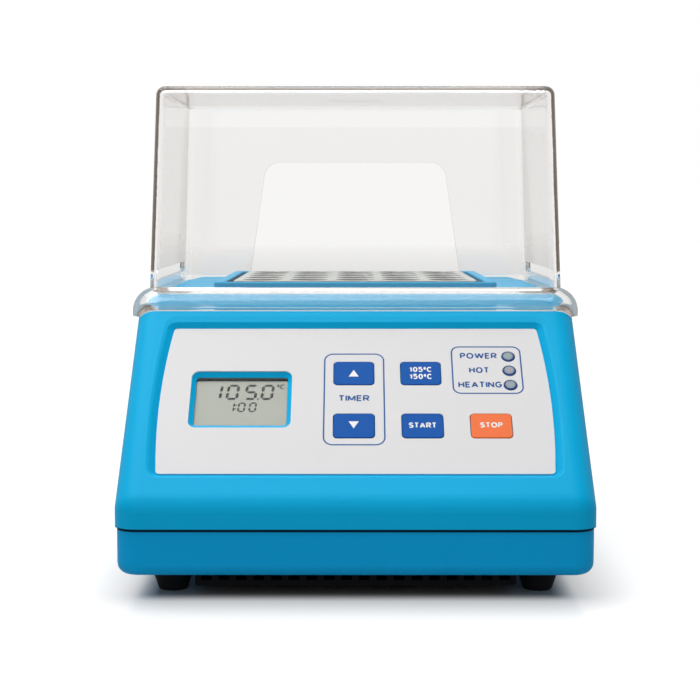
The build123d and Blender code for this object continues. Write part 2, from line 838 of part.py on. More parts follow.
# ------------------------------------------------------------------ heating block
with BuildPart() as heating_block:
    with BuildSketch(Plane.XY.offset(block_bottom_z)):
        RectangleRounded(block_side, block_side, block_corner)
    extrude(amount=block_height)
    with BuildSketch(Plane.XY.offset(block_top_z)):
        with GridLocations(well_pitch, well_pitch, well_count, well_count):
            Circle(well_diameter / 2)
    extrude(amount=-well_depth, mode=Mode.SUBTRACT)
    with BuildSketch(Plane.XY.offset(block_top_z)):
        with Locations(thermometer_place):
            Circle(thermometer_diameter / 2)
    extrude(amount=-thermometer_depth, mode=Mode.SUBTRACT)
    chamfer(faces().sort_by(Axis.Z)[-1].edges(), well_chamfer)

    # From below: the temperature probe's bore and four screw holes
    with BuildSketch(Plane.XY.offset(block_bottom_z)):
        with Locations((0, probe_y)):
            Circle(probe_diameter / 2 + probe_clearance)
    extrude(amount=probe_insertion + probe_clearance, mode=Mode.SUBTRACT)
    with BuildSketch(Plane.XY.offset(block_bottom_z)):
        with GridLocations(2 * clamp_screw_x, 2 * clamp_screw_x, 2, 2):
            Circle(screw_pilot / 2)
    extrude(amount=clamp_screw_bite, mode=Mode.SUBTRACT)

save(heating_block, "heating_block")


def heater_layer(side, bottom_z, thickness):
    """A square plate under the block, with holes for the probe and the screws."""
    with BuildPart() as layer:
        with BuildSketch(Plane.XY.offset(bottom_z)):
            RectangleRounded(side, side, block_corner)
            with Locations((0, probe_y)):
                Circle(probe_collar_diameter / 2 + fit_gap, mode=Mode.SUBTRACT)
            with GridLocations(2 * clamp_screw_x, 2 * clamp_screw_x, 2, 2):
                Circle(screw_diameter / 2 + screw_clearance, mode=Mode.SUBTRACT)
        extrude(amount=thickness)
    return layer


mica_heater = heater_layer(
    block_side - 2 * heater_inset, heater_bottom_z, heater_thickness
)
save(mica_heater, "mica_heater")

heater_clamp = heater_layer(block_side - 2 * clamp_inset, clamp_bottom_z, clamp_thickness)
save(heater_clamp, "heater_clamp")

clamp_places = [
    (x, y) for x in (-clamp_screw_x, clamp_screw_x) for y in (-clamp_screw_x, clamp_screw_x)
]
clamp_screws = upright_screws(
    clamp_places, clamp_bottom_z, block_bottom_z + clamp_screw_bite - screw_clearance
)
save(clamp_screws, "clamp_screws")

with BuildPart() as temperature_probe:
    with BuildSketch(Plane.XY.offset(block_bottom_z)):
        with Locations((0, probe_y)):
            Circle(probe_collar_diameter / 2)
    extrude(amount=-probe_collar_height)
    with BuildSketch(Plane.XY.offset(block_bottom_z)):
        with Locations((0, probe_y)):
            Circle(probe_diameter / 2)
    extrude(amount=probe_insertion)
    fillet(temperature_probe.edges().group_by(Axis.Z)[-1], probe_diameter / 4)

save(temperature_probe, "temperature_probe")

with BuildPart() as thermal_cutout:
    with BuildSketch(Plane.XY.offset(clamp_bottom_z)):
        with Locations((0, cutout_y)):
            Circle(cutout_diameter / 2)
            Rectangle(cutout_ear_length, cutout_diameter / 2)
    extrude(amount=-cutout_ear_thickness)
    with BuildSketch(Plane.XY.offset(clamp_bottom_z)):
        with Locations((0, cutout_y)):
            Circle(cutout_diameter / 2)
    extrude(amount=-cutout_height)

save(thermal_cutout, "thermal_cutout")

# ------------------------------------------------------------------ insulation
insulation_top_z = top_z - wall - insulation_drop

with BuildPart() as block_insulation:
    with BuildSketch(Plane.XY.offset(insulation_bottom_z)):
        RectangleRounded(insulation_outer, insulation_outer, insulation_corner)
    extrude(amount=insulation_top_z - insulation_bottom_z)
    with BuildSketch(Plane.XY.offset(insulation_bottom_z + insulation_floor)):
        RectangleRounded(insulation_inner, insulation_inner, block_corner)
    extrude(amount=insulation_top_z, mode=Mode.SUBTRACT)
    with BuildSketch(Plane.XY.offset(insulation_bottom_z)):
        with GridLocations(2 * standoff_x, 2 * standoff_x, 2, 2):
            Circle(standoff_neck_diameter / 2 + standoff_clearance)
    extrude(amount=insulation_floor, mode=Mode.SUBTRACT)

save(block_insulation, "block_insulation")

with BuildPart() as block_standoffs:
    with BuildSketch(Plane.XY.offset(floor_z)):
        with GridLocations(2 * standoff_x, 2 * standoff_x, 2, 2):
            RegularPolygon(standoff_foot_diameter / 2, 6)
    extrude(amount=insulation_bottom_z - floor_z)
    with BuildSketch(Plane.XY.offset(insulation_bottom_z)):
        with GridLocations(2 * standoff_x, 2 * standoff_x, 2, 2):
            Circle(standoff_neck_diameter / 2)
    extrude(amount=clamp_bottom_z - insulation_bottom_z)

save(block_standoffs, "block_standoffs")

# ------------------------------------------------------------------ clear cover
cover_base_z = top_z - skirt_radius
draft_run = math.tan(math.radians(cover_draft))
cover_base_width = cover_width + 2 * (top_z - cover_base_z) * draft_run
cover_base_depth = cover_depth + 2 * (top_z - cover_base_z) * draft_run
skirt_top_z = top_z + skirt_stand
skirt_front_y = -cover_depth / 2 - skirt_front
skirt_rear_y = cover_depth / 2
skirt_mid_y = (skirt_front_y + skirt_rear_y) / 2


def drafted_box(inset):
    """The cover's drafted form, or its hollow where inset is the wall's thickness."""
    top_z_here = cover_top_z - inset
    narrowing = 2 * (top_z_here - cover_base_z) * draft_run
    width = cover_base_width - 2 * inset
    depth = cover_base_depth - 2 * inset
    corner = cover_plan_corner - inset
    with BuildPart() as box:
        with BuildSketch(Plane.XY.offset(cover_base_z)):
            RectangleRounded(width, depth, corner)
        with BuildSketch(Plane.XY.offset(top_z_here)):
            RectangleRounded(width - narrowing, depth - narrowing, corner)
        loft(ruled=True)
        fillet(faces().sort_by(Axis.Z)[-1].edges(), cover_top_radius - inset)
    return box.part


cover_shell = drafted_box(0)
cover_hollow = drafted_box(cover_wall)

# Rolled skirt over the housing's front and side edges
with BuildPart() as skirt:
    with BuildSketch(Plane.XY.offset(skirt_tip_z)):
        with Locations((0, skirt_mid_y)):
            Rectangle(skirt_width, skirt_rear_y - skirt_front_y)
    extrude(amount=skirt_top_z - skirt_tip_z)
    front_corners = edges().filter_by(Axis.Z).group_by(Axis.Y)[0]
    fillet(front_corners, skirt_plan_corner)
    top_edges = faces().sort_by(Axis.Z)[-1].edges().sort_by(Axis.Y)[:-1]
    fillet(top_edges, skirt_radius)

with BuildPart() as safety_cover:
    # Drafted shell with a rounded top edge, and the skirt
    add(cover_shell)
    add(skirt.part)

    # Hollow inside, then everything that the housing fills, with a gap
    add(cover_hollow, mode=Mode.SUBTRACT)
    add(cover_seat_form, mode=Mode.SUBTRACT)

    # Long slots in both sides, and the arch in the rear wall
    with BuildSketch(Plane.YZ.offset(-cover_width)):
        with Locations((slot_shift_y, top_z + (slot_low + slot_high) / 2)):
            RectangleRounded(slot_length, slot_high - slot_low, slot_corner)
    extrude(amount=2 * cover_width, mode=Mode.SUBTRACT)
    with BuildSketch(Plane.XZ.offset(-cover_depth)):
        with BuildLine():
            FilletPolyline(
                (-arch_bottom_width / 2, top_z - wall),
                (-arch_top_width / 2, top_z + arch_height),
                (arch_top_width / 2, top_z + arch_height),
                (arch_bottom_width / 2, top_z - wall),
                radius=[0, arch_corner, arch_corner, 0],
                close=True,
            )
        make_face()
    extrude(amount=cover_depth, mode=Mode.SUBTRACT)

    # Shallow round well in the middle of the top
    with BuildSketch(Plane.XY.offset(cover_top_z)):
        Circle(dimple_diameter / 2)
    extrude(amount=-dimple_depth, mode=Mode.SUBTRACT)

save(safety_cover, "safety_cover")

# ------------------------------------------------------------------ mains inlet
inlet_back_y = rear_face_y - inlet_flange_thickness - inlet_body_depth
socket_middle = (-inlet_x, -socket_drop)
drawer_middle = (-inlet_x, drawer_rise)
pin_places = [
    (-inlet_x - pin_pitch, -socket_drop - pin_offset),
    (-inlet_x, -socket_drop + pin_offset),
    (-inlet_x + pin_pitch, -socket_drop - pin_offset),
]
rear_face = rear_plane(rear_y - rear_face_y)
inlet_back = rear_plane(rear_y - inlet_back_y)

with BuildPart() as mains_inlet:
    with BuildSketch(rear_face):
        with Locations((-inlet_x, 0)):
            RectangleRounded(inlet_flange_width, inlet_flange_height, inlet_flange_corner)
    extrude(amount=-inlet_flange_thickness)
    with BuildSketch(rear_face):
        with Locations((-inlet_x, 0)):
            Rectangle(inlet_body_width, inlet_body_height)
    extrude(amount=-inlet_flange_thickness - inlet_body_depth)

    # Socket with two cut corners, the fuse drawer's slot and the screw holes
    with BuildSketch(rear_face) as socket_mouth:
        with Locations(socket_middle):
            Rectangle(socket_width, socket_height)
        lower_corners = socket_mouth.vertices().group_by(Axis.Z)[0]
        chamfer(lower_corners, socket_corner)
    extrude(amount=-socket_depth, mode=Mode.SUBTRACT)
    with BuildSketch(rear_face):
        with Locations(drawer_middle):
            Rectangle(drawer_width + 2 * drawer_gap, drawer_height + 2 * drawer_gap)
    extrude(amount=-drawer_length - drawer_gap, mode=Mode.SUBTRACT)
    with BuildSketch(inlet_back):
        with Locations(*pin_places):
            Rectangle(pin_thickness + 2 * screw_seat, pin_width + 2 * screw_seat)
    extrude(amount=inlet_body_depth, mode=Mode.SUBTRACT)
    with BuildSketch(rear_face):
        with Locations(*inlet_screw_places):
            Circle(screw_diameter / 2 + screw_clearance)
    extrude(amount=-inlet_flange_thickness, mode=Mode.SUBTRACT)

save(mains_inlet, "mains_inlet")

with BuildPart() as inlet_pins:
    socket_floor_y = rear_face_y - socket_depth
    with BuildSketch(rear_plane(rear_y - inlet_back_y + pin_tail)):
        with Locations(*pin_places):
            Rectangle(pin_thickness, pin_width)
    extrude(amount=socket_floor_y + pin_reach - inlet_back_y + pin_tail)

save(inlet_pins, "inlet_pins")

with BuildPart() as inlet_screws:
    with BuildSketch(rear_face):
        with Locations(*inlet_screw_places):
            Circle(screw_head_diameter / 2)
    extrude(amount=screw_head_height / 2)
    with BuildSketch(rear_face):
        with Locations(*inlet_screw_places):
            Circle(screw_diameter / 2)
    extrude(amount=-inlet_flange_thickness - wall)

save(inlet_screws, "inlet_screws")

# ------------------------------------------------------------------ fuse drawer
trough_length = fuse_length + 2 * fuse_clearance
trough_width = fuse_diameter + 2 * fuse_clearance
drawer_floor = drawer_height - fuse_diameter - fuse_clearance
fuse_y = rear_face_y - drawer_length / 2
drawer_z = rear_z + drawer_rise
drawer_bottom_z = drawer_z - drawer_height / 2

with BuildPart() as fuse_drawer:
    with BuildSketch(rear_face):
        with Locations(drawer_middle):
            Rectangle(drawer_width, drawer_height)
    extrude(amount=-drawer_length)
    with BuildSketch(Plane.XY.offset(drawer_bottom_z + drawer_floor)):
        with Locations((inlet_x, fuse_y)):
            Rectangle(trough_length, trough_width)
    extrude(amount=drawer_height, mode=Mode.SUBTRACT)
    with BuildSketch(Plane.XY.offset(drawer_bottom_z + drawer_height)):
        with Locations((inlet_x, rear_face_y)):
            Rectangle(drawer_nail_width, 2 * drawer_nail_gap)
    extrude(amount=-drawer_nail_gap, mode=Mode.SUBTRACT)

save(fuse_drawer, "fuse_drawer")

fuse_z = drawer_bottom_z + drawer_floor + fuse_diameter / 2
fuse_plane = Plane.YZ.offset(inlet_x - fuse_length / 2)
with BuildPart() as fuse_caps:
    with BuildSketch(fuse_plane):
        with Locations((fuse_y, fuse_z)):
            Circle(fuse_diameter / 2)
            Circle(fuse_glass_diameter / 2, mode=Mode.SUBTRACT)
    extrude(amount=fuse_length)
    with BuildSketch(fuse_plane.offset(fuse_cap_length)):
        with Locations((fuse_y, fuse_z)):
            Circle(fuse_diameter)
    extrude(amount=fuse_length - 2 * fuse_cap_length, mode=Mode.SUBTRACT)

save(fuse_caps, "fuse_caps")

with BuildPart() as fuse_tube:
    with BuildSketch(fuse_plane):
        with Locations((fuse_y, fuse_z)):
            Circle(fuse_glass_diameter / 2 - screw_seat)
    extrude(amount=fuse_length)

save(fuse_tube, "fuse_tube")

# ------------------------------------------------------------------ rocker switch
rocker_cavity_width = rocker_width + 2 * rocker_gap
rocker_cavity_height = 2 * (rocker_radius + rocker_gap)
pivot_y = rear_face_y - rocker_pivot_depth

with BuildPart() as power_switch:
    with BuildSketch(rear_face):
        with Locations((-rocker_x, 0)):
            RectangleRounded(
                rocker_flange_width, rocker_flange_height, rocker_flange_corner
            )
    extrude(amount=-rocker_flange_thickness)
    with BuildSketch(rear_face):
        with Locations((-rocker_x, 0)):
            Rectangle(rocker_body_width, rocker_body_height)
    extrude(amount=-rocker_body_depth)
    with BuildSketch(rear_face):
        with Locations((-rocker_x, 0)):
            Rectangle(rocker_cavity_width, rocker_cavity_height)
    extrude(amount=-rocker_body_depth + 2 * rocker_shell, mode=Mode.SUBTRACT)
    with BuildSketch(Plane.YZ.offset(rocker_x)):
        with Locations((pivot_y, rear_z)):
            Circle(rocker_axle_diameter / 2 + rocker_axle_clearance)
    extrude(amount=rocker_body_width, both=True, mode=Mode.SUBTRACT)

    # Two spade terminals at the back
    with BuildSketch(rear_plane(rear_y - rear_face_y + rocker_body_depth)):
        with Locations((-rocker_x, -pin_pitch), (-rocker_x, 0)):
            Rectangle(pin_width, spade_thickness)
    extrude(amount=-pin_tail)

save(power_switch, "power_switch")

rocker_plane = Plane(
    origin=(rocker_x, pivot_y, rear_z),
    x_dir=(0, math.cos(math.radians(rocker_angle)), math.sin(math.radians(rocker_angle))),
    z_dir=(1, 0, 0),
)
rocker_crest = rocker_pivot_depth + rocker_rise
rocker_fall = rocker_radius * math.tan(math.radians(rocker_angle))

with BuildPart() as power_rocker:
    # Two flats that meet in a shallow V, inside a circle round the axle, tipped so
    # that the upper half is pressed in, which is the on position
    with BuildSketch(rocker_plane):
        Circle(rocker_radius)
        with BuildLine():
            Polyline(
                (rocker_pivot_depth - rocker_depth, -rocker_radius),
                (rocker_crest + rocker_fall, -rocker_radius),
                (rocker_crest, 0),
                (rocker_crest + rocker_fall, rocker_radius),
                (rocker_pivot_depth - rocker_depth, rocker_radius),
                close=True,
            )
        make_face(mode=Mode.INTERSECT)
    extrude(amount=rocker_width / 2, both=True)
    with BuildSketch(rocker_plane):
        Circle(rocker_axle_diameter / 2)
    extrude(amount=rocker_width / 2 + rocker_axle_length, both=True)

save(power_rocker, "power_rocker")

# ------------------------------------------------------------------ power board
power_board_z = floor_z + spacer_height
power_top_z = power_board_z + power_board_thickness
power_board_width = tub_inner_width - 2 * power_board_side_gap
power_board_rear_y = tub_half_depth - tub_wall - power_board_rear_gap
power_board_y = power_board_rear_y - power_board_depth / 2
transformer_x = transformer_inset + transformer_size[0] / 2 - power_board_width / 2
sink_x = power_board_width / 2 - sink_inset - sink_size[0] / 2
spacer_x = power_board_width / 2 - spacer_diameter / 2 - spacer_inset
spacer_y = power_board_depth / 2 - spacer_diameter / 2 - spacer_inset
spacer_places = [
    (x, power_board_y + y) for x in (-spacer_x, spacer_x) for y in (-spacer_y, spacer_y)
]

with BuildPart() as power_board:
    with BuildSketch(Plane.XY.offset(power_board_z)):
        with Locations((0, power_board_y)):
            RectangleRounded(power_board_width, power_board_depth, board_corner)
    extrude(amount=power_board_thickness)

save(power_board, "power_board")

with BuildPart() as board_spacers:
    with BuildSketch(Plane.XY.offset(floor_z)):
        with Locations(*spacer_places):
            RegularPolygon(spacer_diameter / 2, 6)
    extrude(amount=spacer_height)

save(board_spacers, "board_spacers")

with BuildPart() as transformer:
    with BuildSketch(Plane.XY.offset(power_top_z + transformer_core_height)):
        with Locations((transformer_x, power_board_y)):
            Rectangle(*transformer_size)
    extrude(amount=transformer_height - 2 * transformer_core_height)
    with BuildSketch(Plane.XY.offset(power_top_z)):
        with Locations((transformer_x, power_board_y)):
            RectangleRounded(
                transformer_window,
                transformer_size[1] - 2 * transformer_coil_inset,
                transformer_coil_corner,
            )
    extrude(amount=transformer_height)

save(transformer, "transformer")

with BuildPart() as heat_sink:
    with BuildSketch(Plane.XY.offset(power_top_z)):
        with Locations((sink_x, power_board_y - sink_size[1] / 2 + sink_base / 2)):
            Rectangle(sink_size[0], sink_base)
        fin_pitch = (sink_size[0] - sink_fin_thickness) / (sink_fins - 1)
        with Locations((sink_x, power_board_y)):
            with GridLocations(fin_pitch, 1, sink_fins, 1):
                Rectangle(sink_fin_thickness, sink_size[1])
    extrude(amount=sink_height)

save(heat_sink, "heat_sink")

with BuildPart() as triac:
    with BuildSketch(Plane.XY.offset(power_top_z)):
        with Locations((sink_x, power_board_y - sink_size[1] / 2 - triac_size[1] / 2)):
            Rectangle(triac_size[0], triac_size[1])
    extrude(amount=triac_size[2])

save(triac, "triac")
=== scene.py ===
# %% [markdown]
# # A bench reactor for glass vials
#
# The imported CAD model gives every rigid piece its place: a blue two-part
# housing, a sloped label with keys, an aluminium block and a clear cover.
# This script keeps those pieces, gives each one its finish, and adds what is
# too thin for the model: print, the display's digits, and dark lines of
# painted shade in the screws' crosses and round the display.

import json
import math

import bpy
import numpy as np
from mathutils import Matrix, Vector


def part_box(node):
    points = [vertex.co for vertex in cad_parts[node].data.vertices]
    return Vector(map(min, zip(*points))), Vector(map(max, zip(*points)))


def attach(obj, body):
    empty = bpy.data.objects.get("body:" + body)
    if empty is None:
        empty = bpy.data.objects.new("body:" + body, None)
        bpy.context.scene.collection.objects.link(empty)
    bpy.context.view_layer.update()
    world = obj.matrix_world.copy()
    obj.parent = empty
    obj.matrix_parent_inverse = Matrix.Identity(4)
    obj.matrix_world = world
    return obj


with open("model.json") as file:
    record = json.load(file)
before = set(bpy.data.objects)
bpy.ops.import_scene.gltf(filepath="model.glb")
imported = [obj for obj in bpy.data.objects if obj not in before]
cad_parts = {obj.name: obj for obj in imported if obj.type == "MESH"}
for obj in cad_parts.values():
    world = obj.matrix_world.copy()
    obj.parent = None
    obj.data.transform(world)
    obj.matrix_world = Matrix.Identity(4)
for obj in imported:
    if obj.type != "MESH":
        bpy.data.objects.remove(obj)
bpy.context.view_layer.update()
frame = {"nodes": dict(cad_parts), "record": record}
nodes = frame["nodes"]

# %% [markdown]
# ## Camera
#
# The photograph was taken from a little above the middle of the housing,
# with a long lens. The place, tilt and focal length come from matching known
# corners of the CAD model with the same corners in the picture.

# %% Camera
MM = 0.001

CAMERA_PLACE = (-0.6 * MM, -736.9 * MM, 152.9 * MM)
CAMERA_TILT = math.radians(5.217)
CAMERA_TURN = math.radians(0.148)
SENSOR_WIDTH = 36.0
FOCAL_LENGTH = 78.76

camera_data = bpy.data.cameras.new("camera")
camera_data.sensor_width = SENSOR_WIDTH
camera_data.lens = FOCAL_LENGTH
camera = bpy.data.objects.new("camera", camera_data)
camera.location = CAMERA_PLACE
camera.rotation_euler = (math.radians(90) - CAMERA_TILT, 0, CAMERA_TURN)
bpy.context.scene.collection.objects.link(camera)
bpy.context.scene.camera = camera
bpy.context.scene.view_settings.view_transform = "Standard"
print("camera looks down by", round(math.degrees(CAMERA_TILT), 2), "degrees")

# %% [markdown]
# ## Colours and nodes
#
# Blender mixes light in linear values, while a colour is easier to name as
# the screen shows it. A material is a tree of nodes, and its sockets hold a
# constant or take a link from another node. Making either in one way, by a
# few helpers, keeps every finish further down only a few lines long.

# %% Colours
def screen(red, green, blue):
    """A colour given as the screen's 0 to 255, in linear values.

    A channel c of 0 to 1 becomes c / 12.92 up to 0.04045, and above it
    ((c + 0.055) / 1.055) to the power 2.4.
    """
    c = np.array([red, green, blue]) / 255
    linear = np.where(c <= 0.04045, c / 12.92, ((c + 0.055) / 1.055) ** 2.4)
    return (*linear.tolist(), 1.0)


def darkened(colour, share):
    """The colour with only this share of its light."""
    return (*(share * channel for channel in colour[:3]), 1.0)


WHITE = (1.0, 1.0, 1.0, 1.0)
print("mid grey in linear light:", round(screen(128, 128, 128)[0], 3))

# %% Nodes and their sockets
def feed(tree, socket, value):
    """Links a socket to another node's output, or sets it to a constant."""
    if isinstance(value, bpy.types.NodeSocket):
        tree.links.new(value, socket)
    else:
        socket.default_value = value


def set_inputs(tree, node, **inputs):
    """Feeds a node's named inputs, with _ for each space in a name."""
    for name, value in inputs.items():
        feed(tree, node.inputs[name.replace("_", " ")], value)


def add_node(tree, kind, **inputs):
    """A new node of this kind, with its named inputs fed."""
    node = tree.nodes.new(kind)
    set_inputs(tree, node, **inputs)
    return node


def set_output(tree, name, result):
    """Links a result to the material output's Surface or Volume."""
    output = next(node for node in tree.nodes if node.type == "OUTPUT_MATERIAL")
    tree.links.new(result, output.inputs[name])


def start_material(name):
    """A material with only a Principled shader: (material, tree, shader)."""
    material = bpy.data.materials.new(name)
    material.use_nodes = True
    tree = material.node_tree
    tree.nodes.clear()
    shader = add_node(tree, "ShaderNodeBsdfPrincipled")
    add_node(tree, "ShaderNodeOutputMaterial")
    set_output(tree, "Surface", shader.outputs["BSDF"])
    return material, tree, shader


print("node helpers ready")

# %% Numbers worked out in a tree
def worked(tree, operation, *values, kind="ShaderNodeMath", result="Value"):
    """What one Math node works out from its values."""
    node = tree.nodes.new(kind)
    node.operation = operation
    for socket, value in zip(node.inputs, values):
        feed(tree, socket, value)
    return node.outputs[result]


def vector_worked(tree, operation, *values, result="Vector"):
    """What one Vector Math node works out: its Vector, or its Value."""
    return worked(tree, operation, *values, kind="ShaderNodeVectorMath", result=result)


def remap(tree, value, low, high, to_low=0.0, to_high=1.0, course="LINEAR"):
    """Goes from to_low to to_high while the value goes from low to high."""
    node = add_node(
        tree, "ShaderNodeMapRange", Value=value, From_Min=low, From_Max=high,
        To_Min=to_low, To_Max=to_high,
    )
    node.interpolation_type = course
    return node.outputs["Result"]


def object_place(tree):
    """Where a point lies on the object, in metres."""
    return add_node(tree, "ShaderNodeTexCoord").outputs["Object"]


def object_axes(tree):
    """The same place as three numbers, named X, Y and Z."""
    return add_node(tree, "ShaderNodeSeparateXYZ", Vector=object_place(tree)).outputs


print("number helpers ready")

# %% [markdown]
# ## Grain
#
# No real surface is quite even, so every finish here starts from noise. The
# noise reads the point's place on the object in metres, and its size is set
# in metres too, so the grain stays true to size whatever the piece is.

# %% Grain
NOISE_LOW, NOISE_HIGH = 0.25, 0.75  # noise seldom leaves these values
FACTOR, FIRST_COLOUR, SECOND_COLOUR, MIXED_COLOUR = 0, 6, 7, 2  # a Mix node's sockets


def grain(tree, size, detail=2.0, stretch=(1, 1, 1)):
    """Noise whose lumps are about this many metres across."""
    place = add_node(tree, "ShaderNodeMapping", Vector=object_place(tree), Scale=stretch)
    noise = add_node(
        tree, "ShaderNodeTexNoise", Vector=place.outputs["Vector"], Scale=1 / size,
        Detail=detail,
    )
    return noise.outputs["Fac"]


def span(tree, noise, low, high):
    """Noise stretched to run from low to high."""
    return remap(tree, noise, NOISE_LOW, NOISE_HIGH, low, high)


def blend_colours(tree, factor, first, second):
    """A colour that goes from the first to the second as factor rises."""
    node = tree.nodes.new("ShaderNodeMix")
    node.data_type = "RGBA"
    feed(tree, node.inputs[FACTOR], factor)
    feed(tree, node.inputs[FIRST_COLOUR], first)
    feed(tree, node.inputs[SECOND_COLOUR], second)
    return node.outputs[MIXED_COLOUR]


def relief(tree, shader, height, depth):
    """Joins a height of 0 to 1 to the shader's normal, depth metres high."""
    bump = add_node(tree, "ShaderNodeBump", Height=height, Strength=1.0, Distance=depth)
    set_inputs(tree, shader, Normal=bump.outputs["Normal"])


print("grain helpers ready")

# %% [markdown]
# ## Moulded plastic
#
# A moulded housing takes the texture that was etched into its steel mould: a
# fine, even grain. The flow of the melt leaves a slow drift in the tint. So a
# wide noise gives the tint, and a fine one gives the gloss and the relief.
# Rubber, film and boards are made the same way, with other values.

# %% Plastics, rubber and film
DRIFT_SIZE = 55 * MM


def moulded(name, colour, shade=0.93, gloss=(0.30, 0.38), grain_size=0.45 * MM,
            grain_depth=0.012 * MM, shine=0.2):
    """Moulded plastic: a drifting tint, and a fine grain in gloss and relief."""
    material, tree, shader = start_material(name)
    drift = grain(tree, DRIFT_SIZE)
    fine = grain(tree, grain_size, detail=4)
    set_inputs(
        tree, shader,
        Base_Color=blend_colours(tree, drift, darkened(colour, shade), colour),
        Roughness=span(tree, fine, *gloss), Specular_IOR_Level=shine,
    )
    relief(tree, shader, fine, grain_depth)
    return material


housing_blue = moulded(
    "housing_blue", screen(0, 177, 230), gloss=(0.36, 0.46), shine=0.1
)
tub_blue = moulded("tub_blue", screen(0, 167, 228), gloss=(0.36, 0.46), shine=0.1)
pan_black = moulded("pan_black", screen(5, 6, 9), gloss=(0.5, 0.62), shine=0.1)
foot_rubber = moulded(
    "foot_rubber", screen(20, 21, 24), gloss=(0.5, 0.65), grain_size=0.9 * MM
)
label_film = moulded(
    "label_film", screen(226, 225, 226), shade=0.985, gloss=(0.38, 0.5),
    grain_size=0.25 * MM, grain_depth=0.006 * MM,
)
key_blue = moulded("key_blue", screen(0, 87, 174), gloss=(0.34, 0.44), shine=0.1)
key_orange = moulded("key_orange", screen(250, 118, 58), gloss=(0.34, 0.44))
switch_black = moulded("switch_black", screen(38, 38, 40))
inlet_black = moulded("inlet_black", screen(30, 30, 32), gloss=(0.28, 0.36))
rocker_black = moulded("rocker_black", screen(26, 26, 28), gloss=(0.2, 0.28))
triac_black = moulded("triac_black", screen(36, 36, 38), gloss=(0.4, 0.5))
insulation_board = moulded(
    "insulation_board", screen(66, 68, 70), shade=0.8, gloss=(0.7, 0.9),
    grain_size=0.8 * MM, grain_depth=0.08 * MM,
)
mica_tan = moulded("mica_tan", screen(170, 146, 104), gloss=(0.35, 0.6))
board_green = moulded("board_green", screen(18, 96, 52), gloss=(0.25, 0.35))
led_clear = moulded("led_clear", screen(205, 204, 196), gloss=(0.15, 0.25))
print("plastics made:", len(bpy.data.materials))

# %% [markdown]
# ## Metals
#
# Milled metal mirrors in streaks, because the tool left fine lines. Noise
# that is stretched along one axis gives those lines to the gloss and to the
# relief. Cast, blasted or plated metal has the same grain unstretched.

# %% Metals
LINE_SIZE = 0.5 * MM
LINE_DEPTH = 0.006 * MM
METAL_DRIFT = 14 * MM
METAL_SHADE = 0.9
EVEN = (1, 1, 1)
MILLED = (0.06, 1, 1)


def metal(name, colour, gloss, streak=EVEN):
    """Bare metal whose gloss and relief follow a streaked grain."""
    material, tree, shader = start_material(name)
    lines = grain(tree, LINE_SIZE, detail=5, stretch=streak)
    drift = grain(tree, METAL_DRIFT)
    set_inputs(
        tree, shader,
        Base_Color=blend_colours(tree, drift, darkened(colour, METAL_SHADE), colour),
        Roughness=span(tree, lines, *gloss), Metallic=1.0,
    )
    relief(tree, shader, lines, LINE_DEPTH)
    return material


block_aluminium = metal(
    "block_aluminium", screen(192, 195, 193), (0.5, 0.65), streak=MILLED
)
screw_steel = metal("screw_steel", screen(200, 201, 205), (0.25, 0.38))
standoff_steel = metal("standoff_steel", screen(190, 191, 194), (0.25, 0.4))
clamp_steel = metal("clamp_steel", screen(186, 187, 190), (0.3, 0.45), streak=MILLED)
probe_steel = metal("probe_steel", screen(205, 206, 208), (0.2, 0.3))
cutout_metal = metal("cutout_metal", screen(196, 196, 192), (0.3, 0.4))
pin_nickel = metal("pin_nickel", screen(222, 218, 208), (0.14, 0.24))
spacer_brass = metal("spacer_brass", screen(216, 180, 104), (0.2, 0.32))
fuse_metal = metal("fuse_metal", screen(216, 216, 216), (0.15, 0.25))
sink_black = metal("sink_black", screen(76, 77, 80), (0.4, 0.55))
transformer_dark = metal("transformer_dark", screen(92, 86, 80), (0.4, 0.6))
print("materials made:", len(bpy.data.materials))

# %% [markdown]
# ## Shade in the wells and in the seam
#
# The block's wells and the gap between the two halves of the housing are
# dark, because little light finds its way in and out. A bare metal bore
# would still mirror the white room, and the gap is hardly wider than a pixel
# of the picture. So a dark colour takes over by height: just below the
# block's top face, and at the edges on both sides of the gap.

# %% Wells and seam
BORE_START = 0.02 * MM
BORE_FADE = 0.5 * MM
BORE_GREY = screen(34, 32, 30)
SEAM_GAP = 0.6 * MM
SEAM_START = 0.1 * MM
SEAM_FADE = 0.5 * MM
SEAM_BLUE = screen(3, 34, 58)


def shade_by_height(material, dark_height, bare_height, dark):
    """Blends from the dark colour at one height to the bare one at another."""
    tree = material.node_tree
    shader = next(node for node in tree.nodes if node.type == "BSDF_PRINCIPLED")
    bare = shader.inputs["Base Color"].links[0].from_socket
    share = remap(tree, object_axes(tree)["Z"], dark_height, bare_height)
    set_inputs(tree, shader, Base_Color=blend_colours(tree, share, dark, bare))


block_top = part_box("heating_block")[1].z
upper_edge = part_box("upper_housing")[0].z
lower_edge = upper_edge - SEAM_GAP
shade_by_height(
    block_aluminium, block_top - BORE_FADE, block_top - BORE_START, BORE_GREY
)
shade_by_height(housing_blue, upper_edge + SEAM_START, upper_edge + SEAM_FADE, SEAM_BLUE)
shade_by_height(tub_blue, lower_edge - SEAM_START, lower_edge - SEAM_FADE, SEAM_BLUE)
print("gap shaded at", round(upper_edge / MM, 2), "mm")

# %% [markdown]
# ## Clear plastic and glass
#
# Light bends where it enters clear plastic and again where it leaves, and
# the Principled shader's transmission does that. A bent path seldom finds a
# lamp, so what lies behind would be dark. Shadow and diffuse rays therefore
# pass straight through. The fuse's glass tube needs no more than this.

# %% Clear plastic and glass
HAZE = 0.01
HAZE_SIZE = 30 * MM
GLASS_TINT = screen(248, 252, 250)
GLASS_INDEX = 1.5


